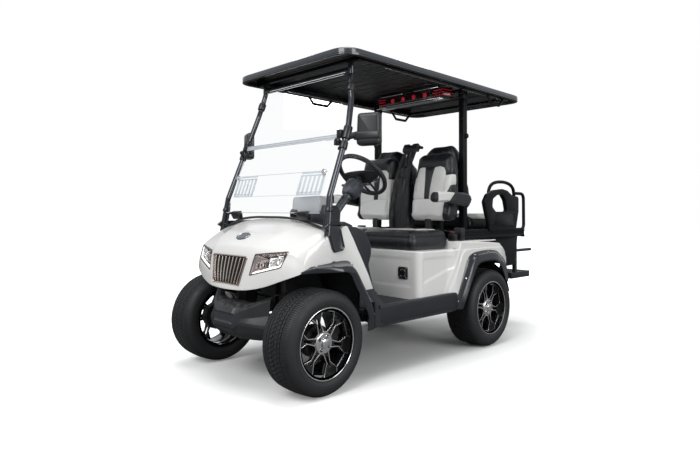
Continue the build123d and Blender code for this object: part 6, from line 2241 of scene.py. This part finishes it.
class CART_OT_rear_seats(bpy.types.Operator):
    """Rear-facing backs and the rear cushion on its flip board"""
    bl_idname = "cart.rear_seats"
    bl_label = "Rear seats"

    def execute(self, context):
        # columns: z, x low, x high, y of the front, y of the rear, inset
        rows = ((1030, 60, 400, 1560, 1700, 14), (1044, 44, 408, 1530, 1738, 3), (1075, 36, 411, 1500, 1764, 0),
                (1130, 34, 412, 1492, 1762, 0), (1210, 34, 412, 1492, 1746, 0), (1300, 38, 411, 1492, 1706, 0),
                (1380, 52, 411, 1492, 1668, 0), (1440, 84, 410, 1492, 1640, 0), (1490, 122, 406, 1494, 1612, 2),
                (1524, 152, 396, 1500, 1588, 6), (1540, 180, 380, 1508, 1572, 14))
        back = Upholstery(stacked(rows, 40), "rear_back_left", 10.5, 12)
        back.hold((1, 1487, 1790), (0, 20.5, 416), (2, 1002, 1552))

        def marks(places, normals):
            x, y, z = places[:, 0], places[:, 1], places[:, 2]
            rear = normals[:, 1] > 0.15
            mirrored = 512 - x
            light = outline_distance(mirrored, z - 60, BACK_LIGHT)
            panel = np.where(rear, light, NO_PANEL)
            seam = np.abs(light)
            for line in BACK_SEAMS[:4]:
                seam = np.minimum(seam, line_distance(mirrored, z - 60, line))
            seam = np.where(rear, seam, NO_SEAM)
            rim = np.abs(y - 1512)
            return panel, np.minimum(seam, np.where(np.abs(normals[:, 1]) < 0.8, rim, NO_SEAM))
        back.sew(marks, puff=5)
        back.hold((1, 1486.5, 1792), (0, 20.5, 417))
        left = back.finish("cart", 0.8)
        right = back.other_side("rear_back_right", "cart")
        brackets = Form().block(196, 244, 1562, 1598, DECK_FOOT, 1060)
        brackets.block(180, 260, 1550, 1610, DECK_FOOT, 808).mirror()
        held = brackets.make("rear_back_brackets", "chassis", "black_moulding", bevel=2)
        for piece in (left, right, held):
            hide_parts("rear_seatbacks")
        self.add_cushion()
        return {"FINISHED"}

    def add_cushion(self):
        rows = [(878, -362, 362, 1800, 2330, 10), (884, -364, 364, 1798, 2332, 1), (930, -365, 365, 1797, 2333, 0),
                (962, -364, 364, 1799, 2331, 3), (978, -361, 361, 1802, 2328, 12), (986, -360, 360, 1802, 2328, 40)]
        cushion = Upholstery(stacked(rows, 44), "rear_cushion", 12, 18)
        cushion.hold((2, 874.8, 1000), (0, -369, 369), (1, 1793, 2337))

        def marks(places, normals):
            x, y, z = np.abs(places[:, 0]), places[:, 1], places[:, 2]
            up = normals[:, 2] > 0.3
            light = outline_distance(x, y, [(-60, 1840), (330, 1840), (344, 1856), (344, 2270), (330, 2290),
                                            (-60, 2290)])
            panel = np.where(up, light, NO_PANEL)
            seam = np.where(up, np.minimum(np.abs(light), np.minimum(x, NO_SEAM)), NO_SEAM)
            side = np.abs(normals[:, 2]) < 0.75
            return panel, np.minimum(seam, np.where(side, np.abs(z - 952), NO_SEAM))
        cushion.sew(marks, puff=6)
        cushion.hold((2, 874.8, 1002), (0, -370, 370), (1, 1792, 2338))
        piece = cushion.finish("rear_cushion_body", 0.85)
        board = Form().block(-371, 371, 1791, 2339, 861.4, 874)
        made = board.make("flip_board", "black", "black_moulding", "rear_cushion_body", bevel=2)
        hinge = Form()
        for side in (1, -1):
            hinge.block(side * 220, side * 300, 2330, 2378, 868.2, 873.8)
            hinge.turned([(-39, 8.2), (-39, 12), (39, 12), (39, 8.2)], (side * 260, 2378, 874), (1, 0, 0), 28,
                         closed=True)
        sleeves = hinge.make("flip_hinges", "chassis", "black_moulding", "rear_cushion_body")
        for own in (piece, made, sleeves):
            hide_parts("rear_cushion")


# ---------------------------------------------------------------- stage
class StageSettings(bpy.types.PropertyGroup):
    """Camera and light."""
    camera_place: FloatVectorProperty(name="Camera", description="Place of the camera, aft from the front axle",
                                      size=3, subtype="TRANSLATION", unit="LENGTH",
                                      default=(2.8557, -2.0203, 1.0089))
    azimuth: FloatProperty(name="Azimuth", description="Direction of the camera from the cart", subtype="ANGLE",
                           unit="ROTATION", default=radians(45.6))
    elevation: FloatProperty(name="Elevation", description="Height angle of the camera", subtype="ANGLE",
                             unit="ROTATION", default=radians(-1.571))
    roll: FloatProperty(name="Roll", description="Turn of the camera about its own line of sight", subtype="ANGLE",
                        unit="ROTATION", default=radians(0.234))
    lens: FloatProperty(name="Lens", description="Focal length for a 36 mm wide picture", unit="CAMERA",
                        default=28.232)
    shift: FloatVectorProperty(name="Shift", description="Shift of the picture, across and up", size=2,
                               default=(0.00114, -0.0520))
    sky_light: FloatProperty(name="Sky light", description="Strength of the even light all round", min=0,
                             default=0.50)
    floor_tone: FloatProperty(name="Floor", description="Tone of the floor", min=0, max=1, subtype="FACTOR",
                              default=0.92)
    bounce: FloatProperty(name="Bounce", description="How much light the floor throws back on the cart", min=0,
                          max=1, subtype="FACTOR", default=0.20)


class CART_OT_stage(bpy.types.Operator):
    """Camera, floor, backdrop and studio lamps"""
    bl_idname = "cart.stage"
    bl_label = "Stage"

    def execute(self, context):
        scene = context.scene
        settings = scene.cart_stage
        self.add_camera(scene, settings)
        self.add_world(scene, settings)
        self.add_floor(settings)
        # columns: name, place, aim, width, height, watts
        for name, place, aim, width, height, watts in (
                ("key", (1.2, -5.6, 4.6), (0.0, -0.6, 0.7), 3.4, 2.6, 190),
                ("side", (5.8, 0.2, 2.6), (0.2, 0.2, 0.7), 3.6, 2.4, 125),
                ("top", (0.0, -0.3, 6.4), (0.0, 0.0, 0.0), 4.0, 4.0, 185),
                ("back", (-4.6, 4.4, 3.6), (0.0, 0.3, 1.2), 3.0, 2.0, 80)):
            lamp = bpy.data.lights.new(name + "_lamp", "AREA")
            lamp.shape = "RECTANGLE"
            lamp.size, lamp.size_y, lamp.energy = width, height, watts
            holder = placed(name + "_lamp", lamp)
            holder.location = place
            holder.rotation_euler = (Vector(aim) - Vector(place)).to_track_quat("-Z", "Y").to_euler()
        return {"FINISHED"}

    def add_camera(self, scene, settings):
        camera = bpy.data.cameras.new("camera")
        camera.sensor_width = 36
        camera.lens = settings.lens
        camera.shift_x, camera.shift_y = settings.shift
        holder = placed("camera", camera)
        turn, lift = settings.azimuth, settings.elevation
        back = Vector((sin(turn) * cos(lift), -cos(turn) * cos(lift), sin(lift)))
        level = Vector((cos(turn), sin(turn), 0))
        upright = back.cross(level)
        right = level * cos(settings.roll) + upright * sin(settings.roll)
        up = upright * cos(settings.roll) - level * sin(settings.roll)
        holder.matrix_world = Matrix((right, up, back)).transposed().to_4x4()
        holder.location = Vector(settings.camera_place) + Vector((0, AXLE.y, 0))
        scene.camera = holder
        scene.view_settings.view_transform = "Standard"

    def add_world(self, scene, settings):
        world = bpy.data.worlds.new("studio")
        world.use_nodes = True
        tree = world.node_tree
        tree.nodes.clear()
        output = tree.nodes.new("ShaderNodeOutputWorld")
        light = tree.nodes.new("ShaderNodeBackground")
        light.inputs["Color"].default_value = (0.97, 0.985, 1.0, 1)
        light.inputs["Strength"].default_value = settings.sky_light
        seen = tree.nodes.new("ShaderNodeBackground")
        seen.inputs["Color"].default_value = (1, 1, 1, 1)
        path = tree.nodes.new("ShaderNodeLightPath")
        either = tree.nodes.new("ShaderNodeMath")
        either.operation = "MAXIMUM"
        tree.links.new(path.outputs["Is Camera Ray"], either.inputs[0])
        tree.links.new(path.outputs["Is Transmission Ray"], either.inputs[1])
        mix = tree.nodes.new("ShaderNodeMixShader")
        tree.links.new(either.outputs[0], mix.inputs[0])
        tree.links.new(light.outputs[0], mix.inputs[1])
        tree.links.new(seen.outputs[0], mix.inputs[2])
        tree.links.new(mix.outputs[0], output.inputs[0])
        scene.world = world

    def add_floor(self, settings):
        size = 30
        data = bpy.data.meshes.new("floor")
        data.from_pydata([(-size, -size, 0), (size, -size, 0), (size, size, 0), (-size, size, 0)], [], [(0, 1, 2, 3)])
        floor = placed("floor", data)
        made = Finish("floor_card")
        tone = settings.floor_tone
        cloud = made.noise(900, 2)
        # Painted shadow: the white glow that the camera sees on the floor is held back in an oval round the cart, so
        # the floor there stays darker.
        oval = made.node("Mapping", {"Vector": made.place, "Scale": (1.25, 0.62, 1.0)}).outputs[0]
        reach = made.node("VectorMath", {0: oval}, operation="LENGTH").outputs["Value"]
        lift_beyond_painted_shadow = made.ramp(reach, 0.7, 2.4, 0.0, 1.0)
        rays = made.node("LightPath").outputs
        seen = made.math("MAXIMUM", rays["Is Camera Ray"], rays["Is Transmission Ray"])
        card = made.mix(cloud, (tone * 0.99,) * 3 + (1,), (tone, tone, tone, 1))
        made.set(Base_Color=made.mix(seen, rgba((settings.bounce,) * 3), card), Roughness=0.9,
                 Specular_IOR_Level=0.1, Emission_Color=(1, 1, 1, 1),
                 Emission_Strength=made.math("MULTIPLY", seen, lift_beyond_painted_shadow))
        data.materials.append(made.material)


MAKERS = (CART_OT_cowl, CART_OT_bumper, CART_OT_flares,
          CART_OT_tub, CART_OT_sills, CART_OT_frame_finishes,
          CART_OT_wheels, CART_OT_posts, CART_OT_windshield,
          CART_OT_mirrors, CART_OT_steering, CART_OT_roof,
          CART_OT_rear, CART_OT_seats, CART_OT_rear_seats,
          CART_OT_stage)


# ---------------------------------------------------------------- panel, registration and making
class CART_PT_panel(bpy.types.Panel):
    """Pieces of the cart"""
    bl_label = "Golf cart"
    bl_idname = "CART_PT_panel"
    bl_space_type = "VIEW_3D"
    bl_region_type = "UI"
    bl_category = "Golf cart"

    def draw(self, context):
        for maker in MAKERS:
            self.layout.operator(maker.bl_idname)
        for group in (context.scene.cart_colours, context.scene.cart_stage):
            for name in group.__annotations__:
                self.layout.prop(group, name)


SETTINGS = (CartColours, StageSettings)


def register():
    for made in SETTINGS + MAKERS + (CART_PT_panel,):
        bpy.utils.register_class(made)
    bpy.types.Scene.cart_colours = PointerProperty(type=CartColours)
    bpy.types.Scene.cart_stage = PointerProperty(type=StageSettings)


def unregister():
    del bpy.types.Scene.cart_colours
    del bpy.types.Scene.cart_stage
    for made in reversed(SETTINGS + MAKERS + (CART_PT_panel,)):
        bpy.utils.unregister_class(made)


def main():
    register()
    FINISHES.update(make_finishes(bpy.context.scene.cart_colours))
    for maker in MAKERS:
        group, name = maker.bl_idname.split(".")
        getattr(getattr(bpy.ops, group), name)()


if __name__ == "__main__":
    main()
